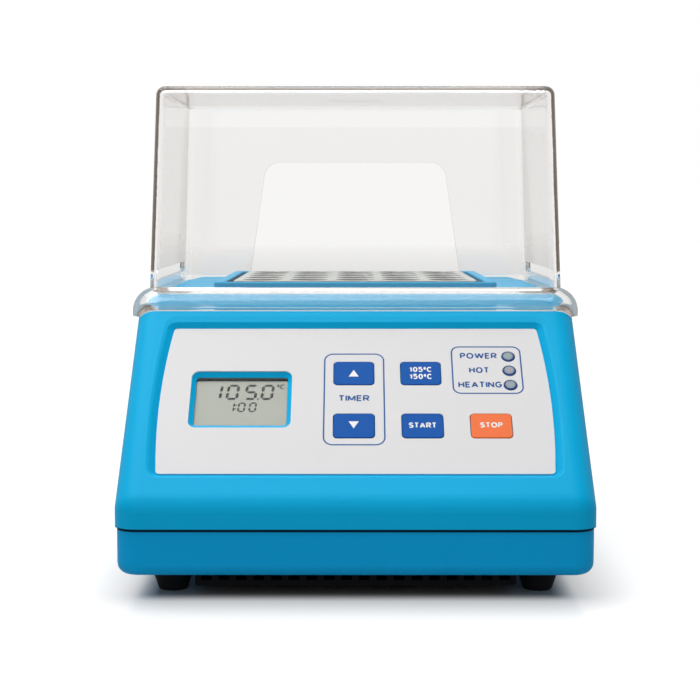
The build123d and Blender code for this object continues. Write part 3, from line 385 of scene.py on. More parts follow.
def mixed_shader(tree, factor, first, second):
    """The first shader, with the second mixed in by the factor's share."""
    mix = add_node(tree, "ShaderNodeMixShader", Fac=factor)
    feed(tree, mix.inputs[1], first)
    feed(tree, mix.inputs[2], second)
    return mix.outputs["Shader"]


def start_clear(name, tint, index):
    """A clear material: (material, tree, bending shader, straight surface)."""
    material, tree, shader = start_material(name)
    set_inputs(
        tree, shader, Base_Color=tint, Transmission_Weight=1.0, IOR=index,
        Roughness=span(tree, grain(tree, HAZE_SIZE), 0.0, HAZE),
    )
    straight = add_node(tree, "ShaderNodeBsdfTransparent", Color=tint)
    return material, tree, shader, straight.outputs["BSDF"]


def finish_clear(tree, surface, straight):
    """Sets the surface, with shadow and diffuse rays sent straight through."""
    rays = add_node(tree, "ShaderNodeLightPath").outputs
    for kind in ("Is Shadow Ray", "Is Diffuse Ray"):
        surface = mixed_shader(tree, rays[kind], surface, straight)
    set_output(tree, "Surface", surface)


fuse_glass, tree, shader, straight = start_clear("fuse_glass", GLASS_TINT, GLASS_INDEX)
finish_clear(tree, shader.outputs["BSDF"], straight)
print("fuse glass made")

# %% [markdown]
# ## Clear cover
#
# The cover is polished plastic that swallows a little of the light. A wall
# that is seen face on is nearly invisible, and a wall that is seen through
# its length is a brown-grey line, which Volume Absorption gives. Light also
# runs along inside the walls, turning again and again. A renderer gives up
# on such a ray, and the edge goes black. So a ray that has turned often
# takes a mix of what lies straight on and a glow: a dark one in the side
# walls and the top, and a pale one elsewhere, as in the photograph.

# %% Clear cover: values
# What the plastic does to light
COVER_TINT = (0.975, 0.973, 0.97, 1.0)
COVER_INDEX = 1.49
COVER_STAIN = screen(166, 148, 128)
COVER_DENSITY = 24.0

# After how many turns a ray ends, on what glow, and the glow's share of it
MOST_TURNS = 4
EDGE_GLOW = (0.2, 0.155, 0.12, 1.0)
PALE_GLOW = WHITE
EDGE_SHARE = 0.9
PALE_SHARE = 0.5
TOP_EDGE_SHARE = 0.4

# Where the dark glow starts: above the skirt, out in the walls, in the top
SKIRT_HEIGHT = 15.5 * MM
WALL_ACROSS = 84.0 * MM
TOP_THICKNESS = 2.4 * MM
GLOW_FADE = 2.0 * MM

# The round dimple in the top, with painted shade inside it and on its rim
DIMPLE_RADIUS = 13.0 * MM
DIMPLE_DEPTH = 1.0 * MM
DIMPLE_PAINTED_SHADE = (0.8, 0.84, 0.87, 1.0)
RIM_WIDTH = 0.15 * MM
RIM_PAINTED_SHADE = (0.3, 0.35, 0.4, 1.0)

cover_low, cover_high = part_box("safety_cover")
skirt_top = cover_low.z + SKIRT_HEIGHT
top_inside = cover_high.z - TOP_THICKNESS
print("cover stands", round((cover_high.z - cover_low.z) / MM, 1), "mm tall")

# %% Clear cover: material
def dimple_painted_shade(tree):
    """The cover's tint, with painted shade in the top's dimple and on its rim.

    Both go by the distance to the dimple's middle: less than its radius, or
    within RIM_WIDTH of it.
    """
    middle = (0, 0, cover_high.z - DIMPLE_DEPTH / 2)
    away = vector_worked(tree, "DISTANCE", object_place(tree), middle, result="Value")
    inside = worked(tree, "LESS_THAN", away, DIMPLE_RADIUS)
    on_rim = worked(tree, "COMPARE", away, DIMPLE_RADIUS, RIM_WIDTH)
    shaded = blend_colours(tree, inside, COVER_TINT, DIMPLE_PAINTED_SHADE)
    return blend_colours(tree, on_rim, shaded, RIM_PAINTED_SHADE)


def dark_zone(tree):
    """1 in the side walls above the skirt, a lower share in the top, else 0."""
    place = object_axes(tree)
    above_skirt = remap(tree, place["Z"], skirt_top - GLOW_FADE, skirt_top)
    across = worked(tree, "ABSOLUTE", place["X"])
    in_wall = remap(
        tree, across, WALL_ACROSS - GLOW_FADE, WALL_ACROSS, to_high=above_skirt
    )
    in_top = remap(
        tree, place["Z"], top_inside - GLOW_FADE, top_inside, to_high=TOP_EDGE_SHARE
    )
    return worked(tree, "MAXIMUM", in_wall, in_top)


cover_clear, tree, shader, straight = start_clear("cover_clear", COVER_TINT, COVER_INDEX)
# Painted shade: the dimple and its rim are darker than the plastic around them
set_inputs(tree, shader, Base_Color=dimple_painted_shade(tree))
zone = dark_zone(tree)
glow_colour = blend_colours(tree, zone, PALE_GLOW, EDGE_GLOW)
glow = add_node(tree, "ShaderNodeEmission", Color=glow_colour)
glow_share = remap(tree, zone, 0, 1, PALE_SHARE, EDGE_SHARE)
ending = mixed_shader(tree, glow_share, straight, glow.outputs["Emission"])
turns = add_node(tree, "ShaderNodeLightPath").outputs["Ray Depth"]
deep = worked(tree, "GREATER_THAN", turns, MOST_TURNS)
finish_clear(tree, mixed_shader(tree, deep, shader.outputs["BSDF"], ending), straight)
absorption = add_node(
    tree, "ShaderNodeVolumeAbsorption", Color=COVER_STAIN, Density=COVER_DENSITY
)
set_output(tree, "Volume", absorption.outputs["Volume"])
print("clear cover made")

# %% [markdown]
# ## Display window and display
#
# The window is thin and flat, so what is behind it shows straight through,
# and only a faint mirror is laid over it. Fresnel's law says how strong that
# is at each angle. Its index is set lower than real plastic's, because the
# photograph shows hardly any mirror. The display is a plain grey-green pane.

# %% Display window and display
WINDOW_INDEX = 1.2
WINDOW_GLOSS = (0.03, 0.06)
WINDOW_HAZE_SIZE = 12 * MM
DISPLAY_DRIFT = 8 * MM
DISPLAY_GLOSS = 0.32

window_clear, tree, shader = start_material("window_clear")
window_haze = span(tree, grain(tree, WINDOW_HAZE_SIZE), *WINDOW_GLOSS)
set_inputs(tree, shader, Base_Color=WHITE, Metallic=1.0, Roughness=window_haze)
behind = add_node(tree, "ShaderNodeBsdfTransparent")
mirror = add_node(tree, "ShaderNodeFresnel", IOR=WINDOW_INDEX)
window_surface = mixed_shader(
    tree, mirror.outputs["Fac"], behind.outputs["BSDF"], shader.outputs["BSDF"]
)
set_output(tree, "Surface", window_surface)

display_grey, tree, shader = start_material("display_grey")
display_tint = blend_colours(
    tree, grain(tree, DISPLAY_DRIFT), screen(160, 164, 150), screen(167, 171, 157)
)
set_inputs(tree, shader, Base_Color=display_tint, Roughness=DISPLAY_GLOSS)
print("window and display made")

# %% [markdown]
# ## Finish of every CAD piece
#
# The record names a material slot for each node. The same names are used
# here, so a table from slot to material dresses all the pieces in a loop.
# Only the three lamp lenses wait, because each gets a finish of its own.

# %% Dress the CAD pieces
LENS_SLOT = "lens_grey"
finishes = {
    "housing_blue": housing_blue,
    "tub_blue": tub_blue,
    "pan_black": pan_black,
    "label_white": label_film,
    "window_clear": window_clear,
    "display_grey": display_grey,
    "key_blue": key_blue,
    "key_orange": key_orange,
    "switch_black": switch_black,
    "led_clear": led_clear,
    "board_green": board_green,
    "screw_steel": screw_steel,
    "pin_nickel": pin_nickel,
    "spacer_brass": spacer_brass,
    "standoff_steel": standoff_steel,
    "block_aluminium": block_aluminium,
    "mica_tan": mica_tan,
    "clamp_steel": clamp_steel,
    "probe_steel": probe_steel,
    "cutout_metal": cutout_metal,
    "insulation_board": insulation_board,
    "cover_clear": cover_clear,
    "inlet_black": inlet_black,
    "rocker_black": rocker_black,
    "fuse_metal": fuse_metal,
    "fuse_glass": fuse_glass,
    "transformer_dark": transformer_dark,
    "sink_black": sink_black,
    "triac_black": triac_black,
    "foot_rubber": foot_rubber,
}
slot_of = {
    part["node"]: part["material_slot"] for part in frame["record"]["subparts"]
}


def dress(node, material):
    """Gives a CAD piece this material and no other."""
    node.data.materials.clear()
    node.data.materials.append(material)


plain_nodes = [name for name in nodes if slot_of[name] != LENS_SLOT]
for name in plain_nodes:
    dress(nodes[name], finishes[slot_of[name]])
print("dressed", len(plain_nodes), "of", len(nodes), "pieces")

# %% [markdown]
# ## The label's own plane
#
# Everything printed lies on the sloped label, so it is easiest to place it
# with two lengths: across from the middle, and up the slope from the label's
# lower edge. The label's box in the frame gives that edge's height and depth.

# %% Places on the label
PANEL_ANGLE = math.radians(43)
FILM_THICKNESS = 0.6 * MM
KEY_LIFT = 0.25 * MM
DISPLAY_DEPTH = 3.5 * MM

label_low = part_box("front_label")[0]
slope_up = np.array([0, math.cos(PANEL_ANGLE), math.sin(PANEL_ANGLE)])
slope_out = np.array([0, -math.sin(PANEL_ANGLE), math.cos(PANEL_ANGLE)])
label_edge = np.array(
    [0, label_low.y, label_low.z + FILM_THICKNESS * math.cos(PANEL_ANGLE)]
)


def on_label(flat, lift):
    """Points of the label's plane, in metres.

    A flat point (across, up) goes to the lower edge's middle, plus across
    along X, plus up along the slope, plus lift along the slope's normal.
    """
    flat = np.asarray(flat, float)
    across = np.zeros((len(flat), 3))
    across[:, 0] = flat[:, 0]
    return label_edge + across + flat[:, 1:2] * slope_up + lift * slope_out


print("label's lower edge at", np.round(label_edge / MM, 2), "mm")

# %% [markdown]
# ## Lamp lenses
#
# Each lens is a flat grey button. The diode behind it shows as a pale spot,
# and a dark blue ring is printed round its rim. All three are circles about
# the lens's middle, so one colour ramp over the distance from it gives
# them. Its stops are shares of the lens's radius.

# %% Lenses
LENS_ACROSS = 64.6 * MM
LENS_RADIUS = 2.8 * MM
SPOT_END = 0.1
GREY_START = 0.6
RING_START = 0.77
RING_BLEND = 0.04
LENS_GRAIN = 1.5 * MM
LENS_GLOSS = (0.2, 0.28)
LENS_GREY = screen(122, 138, 158)
RING_BLUE = screen(40, 74, 142)
lens_spots = {  # height up the label, and the colour of the diode's spot
    "power_lens": (62.0 * MM, screen(132, 164, 124)),
    "hot_lens": (54.1 * MM, screen(160, 140, 130)),
    "heating_lens": (46.2 * MM, screen(140, 148, 138)),
}


def lens(name, height, spot):
    """A lens finish: spot, grey edge and blue ring by distance from its middle."""
    material, tree, shader = start_material(f"{name}_plastic")
    middle = on_label([(LENS_ACROSS, height)], 0)[0]
    away = vector_worked(tree, "DISTANCE", object_place(tree), middle, result="Value")
    share = remap(tree, away, 0, LENS_RADIUS)
    ramp = add_node(tree, "ShaderNodeValToRGB", Fac=share)
    stops = ramp.color_ramp.elements
    stops[0].position, stops[0].color = SPOT_END, spot
    stops[1].position, stops[1].color = RING_START, RING_BLUE
    for position in (GREY_START, RING_START - RING_BLEND):
        stops.new(position).color = LENS_GREY
    gloss = span(tree, grain(tree, LENS_GRAIN), *LENS_GLOSS)
    set_inputs(tree, shader, Base_Color=ramp.outputs["Color"], Roughness=gloss)
    return material


for name, (height, spot) in lens_spots.items():
    dress(nodes[name], lens(name, height, spot))
print("lenses:", len(lens_spots))

# %% [markdown]
# ## New pieces
#
# A new piece is a mesh made from arrays of points and faces. Its place is
# in its points, so its object stays at the origin. It rides on the body
# that carries it, and moves with it.

# %% New pieces
def add_mesh(name, points, faces, body, material):
    """A mesh object from arrays, riding on a body with its finish."""
    mesh = bpy.data.meshes.new(name)
    mesh.from_pydata(np.asarray(points).tolist(), [], [list(face) for face in faces])
    mesh.update()
    piece = bpy.data.objects.new(name, mesh)
    bpy.context.scene.collection.objects.link(piece)
    mesh.materials.append(material)
    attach(piece, body)


print("pieces so far:", len(nodes))

# %% [markdown]
# ## Printed strokes
#
# The label's ink is a film a few hundredths of a millimetre thick. Frames,
# rings and letters are all strokes: a line of points that is given a width.
# The two sides of a stroke lie half its width away from its line, and at a
# bend they meet in a mitre, so the width stays the same round the bend.

# %% Strokes
INK_LIFT = 0.04 * MM
ARC_STEPS = 16


def arc(middle, radii, start, end):
    """Points on an ellipse's arc, between two angles in degrees.

    The point at angle a is the middle plus (first radius times cos a,
    second radius times sin a).
    """
    angles = np.radians(np.linspace(start, end, ARC_STEPS + 1))
    circle = np.column_stack([np.cos(angles), np.sin(angles)])
    return np.asarray(middle) + np.asarray(radii) * circle


def stroke(line, width):
    """Corners and faces of a flat strip that follows a line of points.

    A side point is the line's point plus half the width along the mitre.
    The mitre is the sum s of the two neighbouring normals over s . normal.
    A steep straight line is cut level at both ends, as a letter's leg is.
    """
    line = np.asarray(line, float)
    runs = np.diff(line, axis=0)
    runs /= np.linalg.norm(runs, axis=1, keepdims=True)
    normals = np.column_stack([-runs[:, 1], runs[:, 0]])
    before = np.vstack([normals[:1], normals])
    both = before + np.vstack([normals, normals[-1:]])
    mitre = both / (both * before).sum(axis=1, keepdims=True)
    if len(line) == 2 and 0 < abs(runs[0, 0]) < abs(runs[0, 1]):
        mitre = np.array([[1 / normals[0, 0], 0]] * 2)
    points = np.concatenate([line + mitre * width / 2, line - mitre * width / 2])
    here = np.arange(len(line) - 1)
    far = here + len(line)
    return points, np.column_stack([here, far, far + 1, here + 1])


def joined(strokes):
    """The points and faces of several strokes as those of one."""
    points = np.concatenate([corners for corners, _ in strokes])
    starts = np.cumsum([0] + [len(corners) for corners, _ in strokes])
    faces = np.concatenate([side + start for (_, side), start in zip(strokes, starts)])
    return points, faces


def printed(name, strokes, lift, body, material):
    """One piece of ink, or of painted shadow, from a list of strokes, laid on the label."""
    points, faces = joined(strokes)
    add_mesh(name, on_label(points, lift), faces, body, material)


print("ink lies", round(INK_LIFT / MM, 2), "mm above its face")

# %% [markdown]
# ## Frames
#
# A thin blue frame groups the two timer keys, and another the three lamps.
# Each is a rectangle with round corners. One stroke goes all the way round
# it, from the middle of its right side over four quarter circles.

# %% Frames
FRAME_WIDTH = 0.62 * MM


def rounded_frame(centre, width, height, radius):
    """A line round a rectangle with round corners, from its right side on.

    Each corner is a quarter circle about a point that lies one radius in
    from both sides. Widths and heights are measured on the line.
    """
    across, up = width / 2 - radius, height / 2 - radius
    corners = [(across, up), (-across, up), (-across, -up), (across, -up)]
    arcs = [
        arc(corner, (radius, radius), 90 * turn, 90 * turn + 90)
        for turn, corner in enumerate(corners)
    ]
    side = [(width / 2, 0)]
    return np.concatenate([side, *arcs, side]) + np.asarray(centre)


ink_blue = moulded(
    "ink_blue", screen(30, 92, 158), gloss=(0.4, 0.5), grain_size=0.2 * MM,
    grain_depth=0.003 * MM,
)
ink_white = moulded("ink_white", screen(246, 246, 246), gloss=(0.4, 0.5))

frames = {  # middle on the label, width, height and corner radius in mm
    "timer_frame": ((-0.5, 39.0), 24.8, 48.8, 3.7),
    "lamp_frame": ((55.2, 54.6), 29.0, 25.8, 3.3),
}
for name, (centre, width, height, radius) in frames.items():
    outline = rounded_frame(np.array(centre), width, height, radius) * MM
    printed(
        name, [stroke(outline, FRAME_WIDTH)], INK_LIFT, "instrument", ink_blue
    )
print("frames printed:", len(frames))

# %% [markdown]
# ## Lettering
#
# The marks are only the plain words and numbers that a heater's keys need.
# Each capital is a few strokes in a box one cap height tall, as a drawing
# office stencil has them. A bold, wide letter is the same stencil with a
# thicker stroke, so one table serves the label, the keys and the display.

# %% Letters
stem = [(0, 0), (0, 1)]
far_stem = [(1, 0), (1, 1)]
bowl = np.concatenate([[(0, 1)], arc((0.55, 0.73), (0.45, 0.27), 90, -90), [(0, 0.46)]])
round_letter = arc((0.5, 0.5), (0.5, 0.5), 90, 450)
hook = np.concatenate(
    [arc((0.5, 0.76), (0.48, 0.24), 25, 270), arc((0.5, 0.26), (0.5, 0.26), 80, -155)]
)
LETTERS = {  # a letter's width in heights, and its lines in a box of 1 by 1
    "A": (1.0, [[(0, 0), (0.5, 1)], [(1, 0), (0.5, 1)], [(0.2, 0.3), (0.8, 0.3)]]),
    "C": (0.95, [arc((0.5, 0.5), (0.5, 0.5), 45, 315)]),
    "E": (0.76, [[(1, 1), (0, 1), (0, 0), (1, 0)], [(0, 0.52), (0.9, 0.52)]]),
    "G": (1.02, [np.concatenate(
        [arc((0.5, 0.5), (0.5, 0.5), 45, 330), [(0.94, 0.46), (0.56, 0.46)]])]),
    "H": (0.9, [stem, far_stem, [(0, 0.52), (1, 0.52)]]),
    "I": (0.19, [[(0.5, 0), (0.5, 1)]]),
    "M": (1.08, [stem, far_stem, [(0, 1), (0.5, 0.1)], [(1, 1), (0.5, 0.1)]]),
    "N": (0.92, [stem, far_stem, [(0, 1), (1, 0)]]),
    "O": (1.08, [round_letter]),
    "P": (0.82, [stem, bowl]),
    "R": (0.88, [stem, bowl, [(0.5, 0.46), (1, 0)]]),
    "S": (0.84, [hook]),
    "T": (0.84, [[(0, 1), (1, 1)], [(0.5, 0), (0.5, 1)]]),
    "W": (1.42, [[(0, 1), (0.25, 0)], [(0.5, 1), (0.25, 0)], [(0.5, 1), (0.75, 0)],
                 [(1, 1), (0.75, 0)]]),
    "0": (0.78, [round_letter]),
    "1": (0.44, [[(0.8, 0), (0.8, 1)], [(0, 0.74), (0.8, 1)]]),
    "5": (0.78, [[(0.92, 1), (0.14, 1), (0.1, 0.5)],
                 arc((0.47, 0.33), (0.53, 0.33), 140, -145)]),
    "\u00b0": (0.42, [arc((0.5, 0.78), (0.5, 0.22), 90, 450)]),  # the degree sign
}
print("letters drawn:", len(LETTERS))

# %% Words on the label and the keys
LETTER_STROKE = 0.21
LETTER_GAP = 0.1
KEY_INK = KEY_LIFT + INK_LIFT


def word_strokes(text, centre, height, width, weight=LETTER_STROKE):
    """The strokes of a word whose middle is at centre, height tall.

    A letter's line fills its box less the stroke, so that the ink reaches
    the box's sides. All boxes are widened alike until the word is as wide
    as asked for, with LETTER_GAP heights between two letters.
    """
    shares = np.array([LETTERS[letter][0] for letter in text])
    gap = LETTER_GAP * height
    widths = shares * (width - gap * (len(text) - 1)) / shares.sum()
    left = centre[0] - width / 2
    low = centre[1] - height / 2
    ink = weight * height
    strokes = []
    for letter, letter_width in zip(text, widths):
        for line in LETTERS[letter][1]:
            size = np.array([max(letter_width - ink, 0), height - ink])
            corner = np.array([left, low]) + ink / 2
            strokes.append(stroke(corner + size * np.asarray(line, float), ink))
        left += letter_width + gap
    return strokes


label_words = {  # middle on the label, height and width in mm
    "POWER": ((52.0, 62.45), 3.3, 15.6),
    "HOT": ((51.9, 54.45), 3.3, 8.4),
    "HEATING": ((51.95, 46.45), 3.3, 18.3),
    "TIMER": ((-0.6, 39.05), 3.3, 12.8),
}
for text, (centre, height, width) in label_words.items():
    strokes = word_strokes(text, np.array(centre) * MM, height * MM, width * MM)
    printed(f"word_{text.lower()}", strokes, INK_LIFT, "instrument", ink_blue)

key_words = {  # text, middle on the label, height and width in mm, and the key
    "start": ("START", (27.35, 24.55), 2.9, 11.3, "start_key_body"),
    "stop": ("STOP", (55.3, 24.7), 2.8, 9.2, "stop_key_body"),
    "low_heat": ("105\u00b0C", (27.5, 54.6), 2.9, 9.5, "temperature_key_body"),
    "high_heat": ("150\u00b0C", (27.5, 50.7), 2.9, 9.5, "temperature_key_body"),
}
for mark, (text, centre, height, width, body) in key_words.items():
    strokes = word_strokes(text, np.array(centre) * MM, height * MM, width * MM)
    printed(f"word_{mark}", strokes, KEY_INK, body, ink_white)
print("words printed:", len(label_words) + len(key_words))

# %% [markdown]
# ## Arrows
#
# The two timer keys carry one arrow each, printed in the same white ink. A
# flat triangle is the whole shape. The one that points down has its corners
# in the opposite order, so that its face still looks out of the key.

# %% Arrows on the two timer keys
ARROW_WIDTH = 4.2 * MM
ARROW_HEIGHT = 3.7 * MM
UP_ARROW = np.array([-0.7, 52.5]) * MM
DOWN_ARROW = np.array([-0.7, 24.7]) * MM


def printed_arrow(name, centre, way, body):
    """A triangle that points up the slope when way is 1, and down at -1.

    Its foot is half the height before its centre, and its tip as much past.
    """
    half = np.array([ARROW_WIDTH, ARROW_HEIGHT]) / 2
    corners = np.array([[-1, -1], [1, -1], [0, 1]]) * half * (1, way) + centre
    order = [(0, 1, 2)] if way > 0 else [(0, 2, 1)]
    add_mesh(name, on_label(corners, KEY_INK), order, body, ink_white)


printed_arrow("arrow_up", UP_ARROW, 1, "up_key_body")
printed_arrow("arrow_down", DOWN_ARROW, -1, "down_key_body")
print("arrows printed")

# %% [markdown]
# ## Digits of the display
#
# A liquid crystal digit is seven six-sided bars with thin gaps, all leaning a
# little. One bar is worked out once, and each digit is a choice of bars.
# Decimal point and colon are six-sided dots, so every outline has as many
# corners, and one array holds the faces of them all.

# %% Digits
LEAN = 0.11
BAR_GAP = 0.35
CORNERS = 6
BARS = {  # middle as shares of width and height, and 1 if upright
    "a": (0.5, 1.0, 0), "b": (1.0, 0.75, 1), "c": (1.0, 0.25, 1), "d": (0.5, 0.0, 0),
    "e": (0.0, 0.25, 1), "f": (0.0, 0.75, 1), "g": (0.5, 0.5, 0),
}
DIGITS = {"0": "abcdef", "1": "bc", "5": "acdfg"}


def bar(middle, length, thickness, upright):
    """A six-sided bar about its middle, along the digit or across it.

    Its outline is two points at the ends and four at the shoulders, which
    are half the thickness in from the ends and half of it to each side.
    """
    end, half = length / 2, thickness / 2
    along = np.array([-end, -end + half, end - half, end, end - half, -end + half])
    aside = np.array([0, -half, -half, 0, half, half])
    outline = np.column_stack([aside[::-1], along[::-1]] if upright else [along, aside])
    return outline + middle


def digit(character, corner, width, height, thickness):
    """The bars of one digit whose lower left bar centre is at corner.

    A bar lies at its share of the width and height, and leans by LEAN times
    its height above the corner.
    """
    size = np.array([width, height])
    gap = BAR_GAP * thickness
    bars = []
    for key in DIGITS[character]:
        across, up, upright = BARS[key]
        length = (height / 2 if upright else width) - gap
        points = bar(np.array([across, up]) * size, length, thickness, upright)
        points[:, 0] += LEAN * points[:, 1]
        bars.append(points + corner)
    return bars


def dot(centre, radius):
    """A six-sided dot: radius times (cos a, sin a) about its centre."""
    angles = np.arange(CORNERS) * 2 * math.pi / CORNERS
    return np.asarray(centre) + radius * np.column_stack([np.cos(angles), np.sin(angles)])


def number(text, lefts, base, size):
    """The bars of a row of digits, with their corners at lefts and base in mm."""
    return [
        outline
        for character, left in zip(text, lefts)
        for outline in digit(character, np.array([left, base]) * MM, *size)
    ]


print("digits known:", len(DIGITS))

# %% [markdown]
# ## What the display shows
#
# The upper row is a temperature with one decimal and its unit, and the lower
# row is a time. All of it lies behind the window, a little above the
# display's grey face. A dark line round the face is painted shadow, where
# the rim of the window's opening shades the sunken face.

# %% Display
BIG = (4.05 * MM, 7.2 * MM, 1.2 * MM)  # a digit's width, height and thickness of bar
SMALL = (2.43 * MM, 4.5 * MM, 0.8 * MM)
DISPLAY_INK = INK_LIFT - DISPLAY_DEPTH
PAINTED_SHADOW_LIFT = 2 * INK_LIFT - DISPLAY_DEPTH
PAINTED_SHADOW_WIDTH = 1.2 * MM
UNIT_WEIGHT = 0.2
POINT_RADIUS = 0.5 * MM
COLON_RADIUS = 0.34 * MM

temperature = [
    *number("1050", (-60.5, -53.55, -45.9, -39.05), 41.55, BIG),
    dot(np.array([-40.5, 41.4]) * MM, POINT_RADIUS),
]
clock = [
    *number("100", (-53.0, -48.6, -44.0), 34.8, SMALL),
    dot(np.array([-49.4, 38.1]) * MM, COLON_RADIUS),
    dot(np.array([-49.6, 36.2]) * MM, COLON_RADIUS),
]
shapes = temperature + clock
lcd_points = on_label(np.concatenate(shapes), DISPLAY_INK)
lcd_faces = CORNERS * np.arange(len(shapes))[:, None] + np.arange(CORNERS)
digit_and_painted_shadow_black = moulded(
    "digit_and_painted_shadow_black", screen(20, 23, 20), gloss=(0.45, 0.55), grain_size=0.2 * MM,
    grain_depth=0.002 * MM, shine=0.1,
)
add_mesh("display_digits", lcd_points, lcd_faces, "instrument", digit_and_painted_shadow_black)
unit = word_strokes(
    "\u00b0C", np.array([-31.05, 48.1]) * MM, 2.7 * MM, 3.5 * MM, UNIT_WEIGHT
)
printed("display_unit", unit, DISPLAY_INK, "instrument", digit_and_painted_shadow_black)
# Painted shadow: a dark line round the display's face, where the rim of the window's
# opening shades it
painted_shadow_line = stroke(rounded_frame(np.array([-47.4, 38.65]), 39.6, 26.1, 1.6) * MM, PAINTED_SHADOW_WIDTH)
printed("display_painted_shadow", [painted_shadow_line], PAINTED_SHADOW_LIFT, "instrument", digit_and_painted_shadow_black)
print("display shows", len(shapes), "bars and dots")

# %% [markdown]
# ## Marks on the rocker
#
# The rocker carries a line on its upper half and a ring on its lower half.
# At rest the upper half stands upright and the lower half leans out by the
# rocker's own angle, so its ring leans too. Both marks are strokes again.

# %% Rocker marks
ROCKER_LEAN = math.radians(18)
ROCKER_INK = 0.55 * MM
LINE_LENGTH = 3.0 * MM
RING_RADIUS = 1.35 * MM
UPPER_FACE = (147.74 * MM, 59.9 * MM)  # depth and height of the upper half's middle
LOWER_FACE = (148.69 * MM, 53.81 * MM)

rocker_low, rocker_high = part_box("power_rocker")
rocker_middle = (rocker_low.x + rocker_high.x) / 2


def on_wall(flat, centre, lean):
    """Points on a face at the back that leans over by an angle.

    A flat point (across, up) goes to the centre, plus across along -X, plus
    up along (0, -sin lean, cos lean), plus the ink's lift along the normal.
    """
    flat = np.asarray(flat, float)
    up = np.array([0, -math.sin(lean), math.cos(lean)])
    out = np.array([0, math.cos(lean), math.sin(lean)])
    return centre + flat[:, :1] * (-1, 0, 0) + flat[:, 1:] * up + INK_LIFT * out


line_mark = [(0, -LINE_LENGTH / 2), (0, LINE_LENGTH / 2)]
ring_mark = arc((0, 0), (RING_RADIUS, RING_RADIUS), 90, 450)
rocker_marks = {
    "rocker_line": (line_mark, (rocker_middle, *UPPER_FACE), 0),
    "rocker_ring": (ring_mark, (rocker_middle, *LOWER_FACE), ROCKER_LEAN),
}
for name, (line, centre, lean) in rocker_marks.items():
    points, faces = stroke(line, ROCKER_INK)
    add_mesh(name, on_wall(points, centre, lean), faces, "rocker", ink_white)
print("rocker marks:", len(rocker_marks))

# %% [markdown]
# ## Crosses in the screw heads
#
# A cross-head screw has a cross-shaped recess with four equal arms, which
# lies in shade. The recess is not cut here, so its shade is painted: two
# dark strokes at a right angle, laid on the head's flat end. The heads'
# middles come from the box round each group of screws, because the heads
# touch its sides: a middle lies one head's radius in from two of them.

# %% Screw crosses
HEAD_RADIUS = 3.0 * MM
CROSS_LENGTH = 2.9 * MM
CROSS_WIDTH = 0.62 * MM
BACK_AXES = (np.array([-1.0, 0, 0]), np.array([0, 0, 1.0]))
UNDER_AXES = (np.array([1.0, 0, 0]), np.array([0, -1.0, 0]))

# A dark colour that paints the shade in the screws' cross recesses
recess_painted_shade = moulded("recess_painted_shade", screen(44, 44, 46), gloss=(0.5, 0.7))


def cross(centre, across, up):
    """The two strokes of a cross that meet at the centre.

    A flat point (a, b) goes to the centre, plus a along the first axis, plus
    b along the second.
    """
    half = CROSS_LENGTH / 2
    arms = []
    for line in ([(-half, 0), (half, 0)], [(0, -half), (0, half)]):
        flat, faces = stroke(line, CROSS_WIDTH)
        arms.append((centre + flat[:, :1] * across + flat[:, 1:] * up, faces))
    return arms


def add_crosses(name, centres, across, up):
    """One piece with a dark cross of painted shade at each screw's centre."""
    points, faces = joined([arm for centre in centres for arm in cross(centre, across, up)])
    add_mesh(name, points, faces, "instrument", recess_painted_shade)


low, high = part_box("inlet_screws")
inlet_heads = [
    (x, high.y + INK_LIFT, (low.z + high.z) / 2)
    for x in (low.x + HEAD_RADIUS, high.x - HEAD_RADIUS)
]
add_crosses("inlet_screw_crosses", inlet_heads, *BACK_AXES)
for node in ("foot_screws", "housing_screws", "pan_screws"):
    low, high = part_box(node)
    heads = [
        (x, y, low.z - INK_LIFT)
        for x in (low.x + HEAD_RADIUS, high.x - HEAD_RADIUS)
        for y in (low.y + HEAD_RADIUS, high.y - HEAD_RADIUS)
    ]
    add_crosses(f"{node[:-1]}_crosses", heads, *UNDER_AXES)
print("screw crosses made")

# %% [markdown]
# ## White background
#
# The background is plain white. The camera sees the world at full white,
# also through clear plastic. Mirrors see it darker, and the light that it
# throws on the object is lower still, so that pale pieces keep their shade.
# Light Path tells these kinds of ray apart.

# %% World
WORLD_LIGHT = 0.30
WORLD_MIRROR = 0.62

world = bpy.data.worlds.new("studio")
bpy.context.scene.world = world
world.use_nodes = True
tree = world.node_tree
tree.nodes.clear()
rays = add_node(tree, "ShaderNodeLightPath").outputs
seen = worked(tree, "MAXIMUM", rays["Is Camera Ray"], rays["Is Transmission Ray"])
unseen = remap(tree, rays["Is Glossy Ray"], 0, 1, WORLD_LIGHT, WORLD_MIRROR)
strength = remap(tree, seen, 0, 1, to_low=unseen)
background = add_node(tree, "ShaderNodeBackground", Color=WHITE, Strength=strength)
add_node(tree, "ShaderNodeOutputWorld", Surface=background.outputs["Background"])
print("world light", WORLD_LIGHT, "and in mirrors", WORLD_MIRROR)

# %% [markdown]
# ## Floor
#
# The floor keeps the object's shadow, so what the camera sees of it is part
# lit surface and part steady glow. The glow starts at the edge of the
# object's footprint and rises outwards in three soft steps, until the floor
# is as white as the background. So the dark floor round the object is partly
# the real shadow and partly painted shadow, where the glow is low. Through
# clear plastic only a share of the glow shows, so the floor looks a little
# grey there, a painted shade, as in the photograph.

# %% Floor
FLOOR_SIZE = 12.0
FLOOR_GREY = screen(190, 190, 190)
FLOOR_SHINE = 0.35
FLOOR_GLOSS = (0.16, 0.2)
FLOOR_GRAIN = 60 * MM

# The glow's low steps next to the footprint paint shadow round the object
# The footprint's half sizes, and each step's rise, start and end, in metres from it
FOOTPRINT_HALF = (0.078, 0.135, 0)
GLOW_STEPS = ((0.34, 0.0, 0.013), (0.26, 0.01, 0.044), (0.06, 0.1, 1.5))

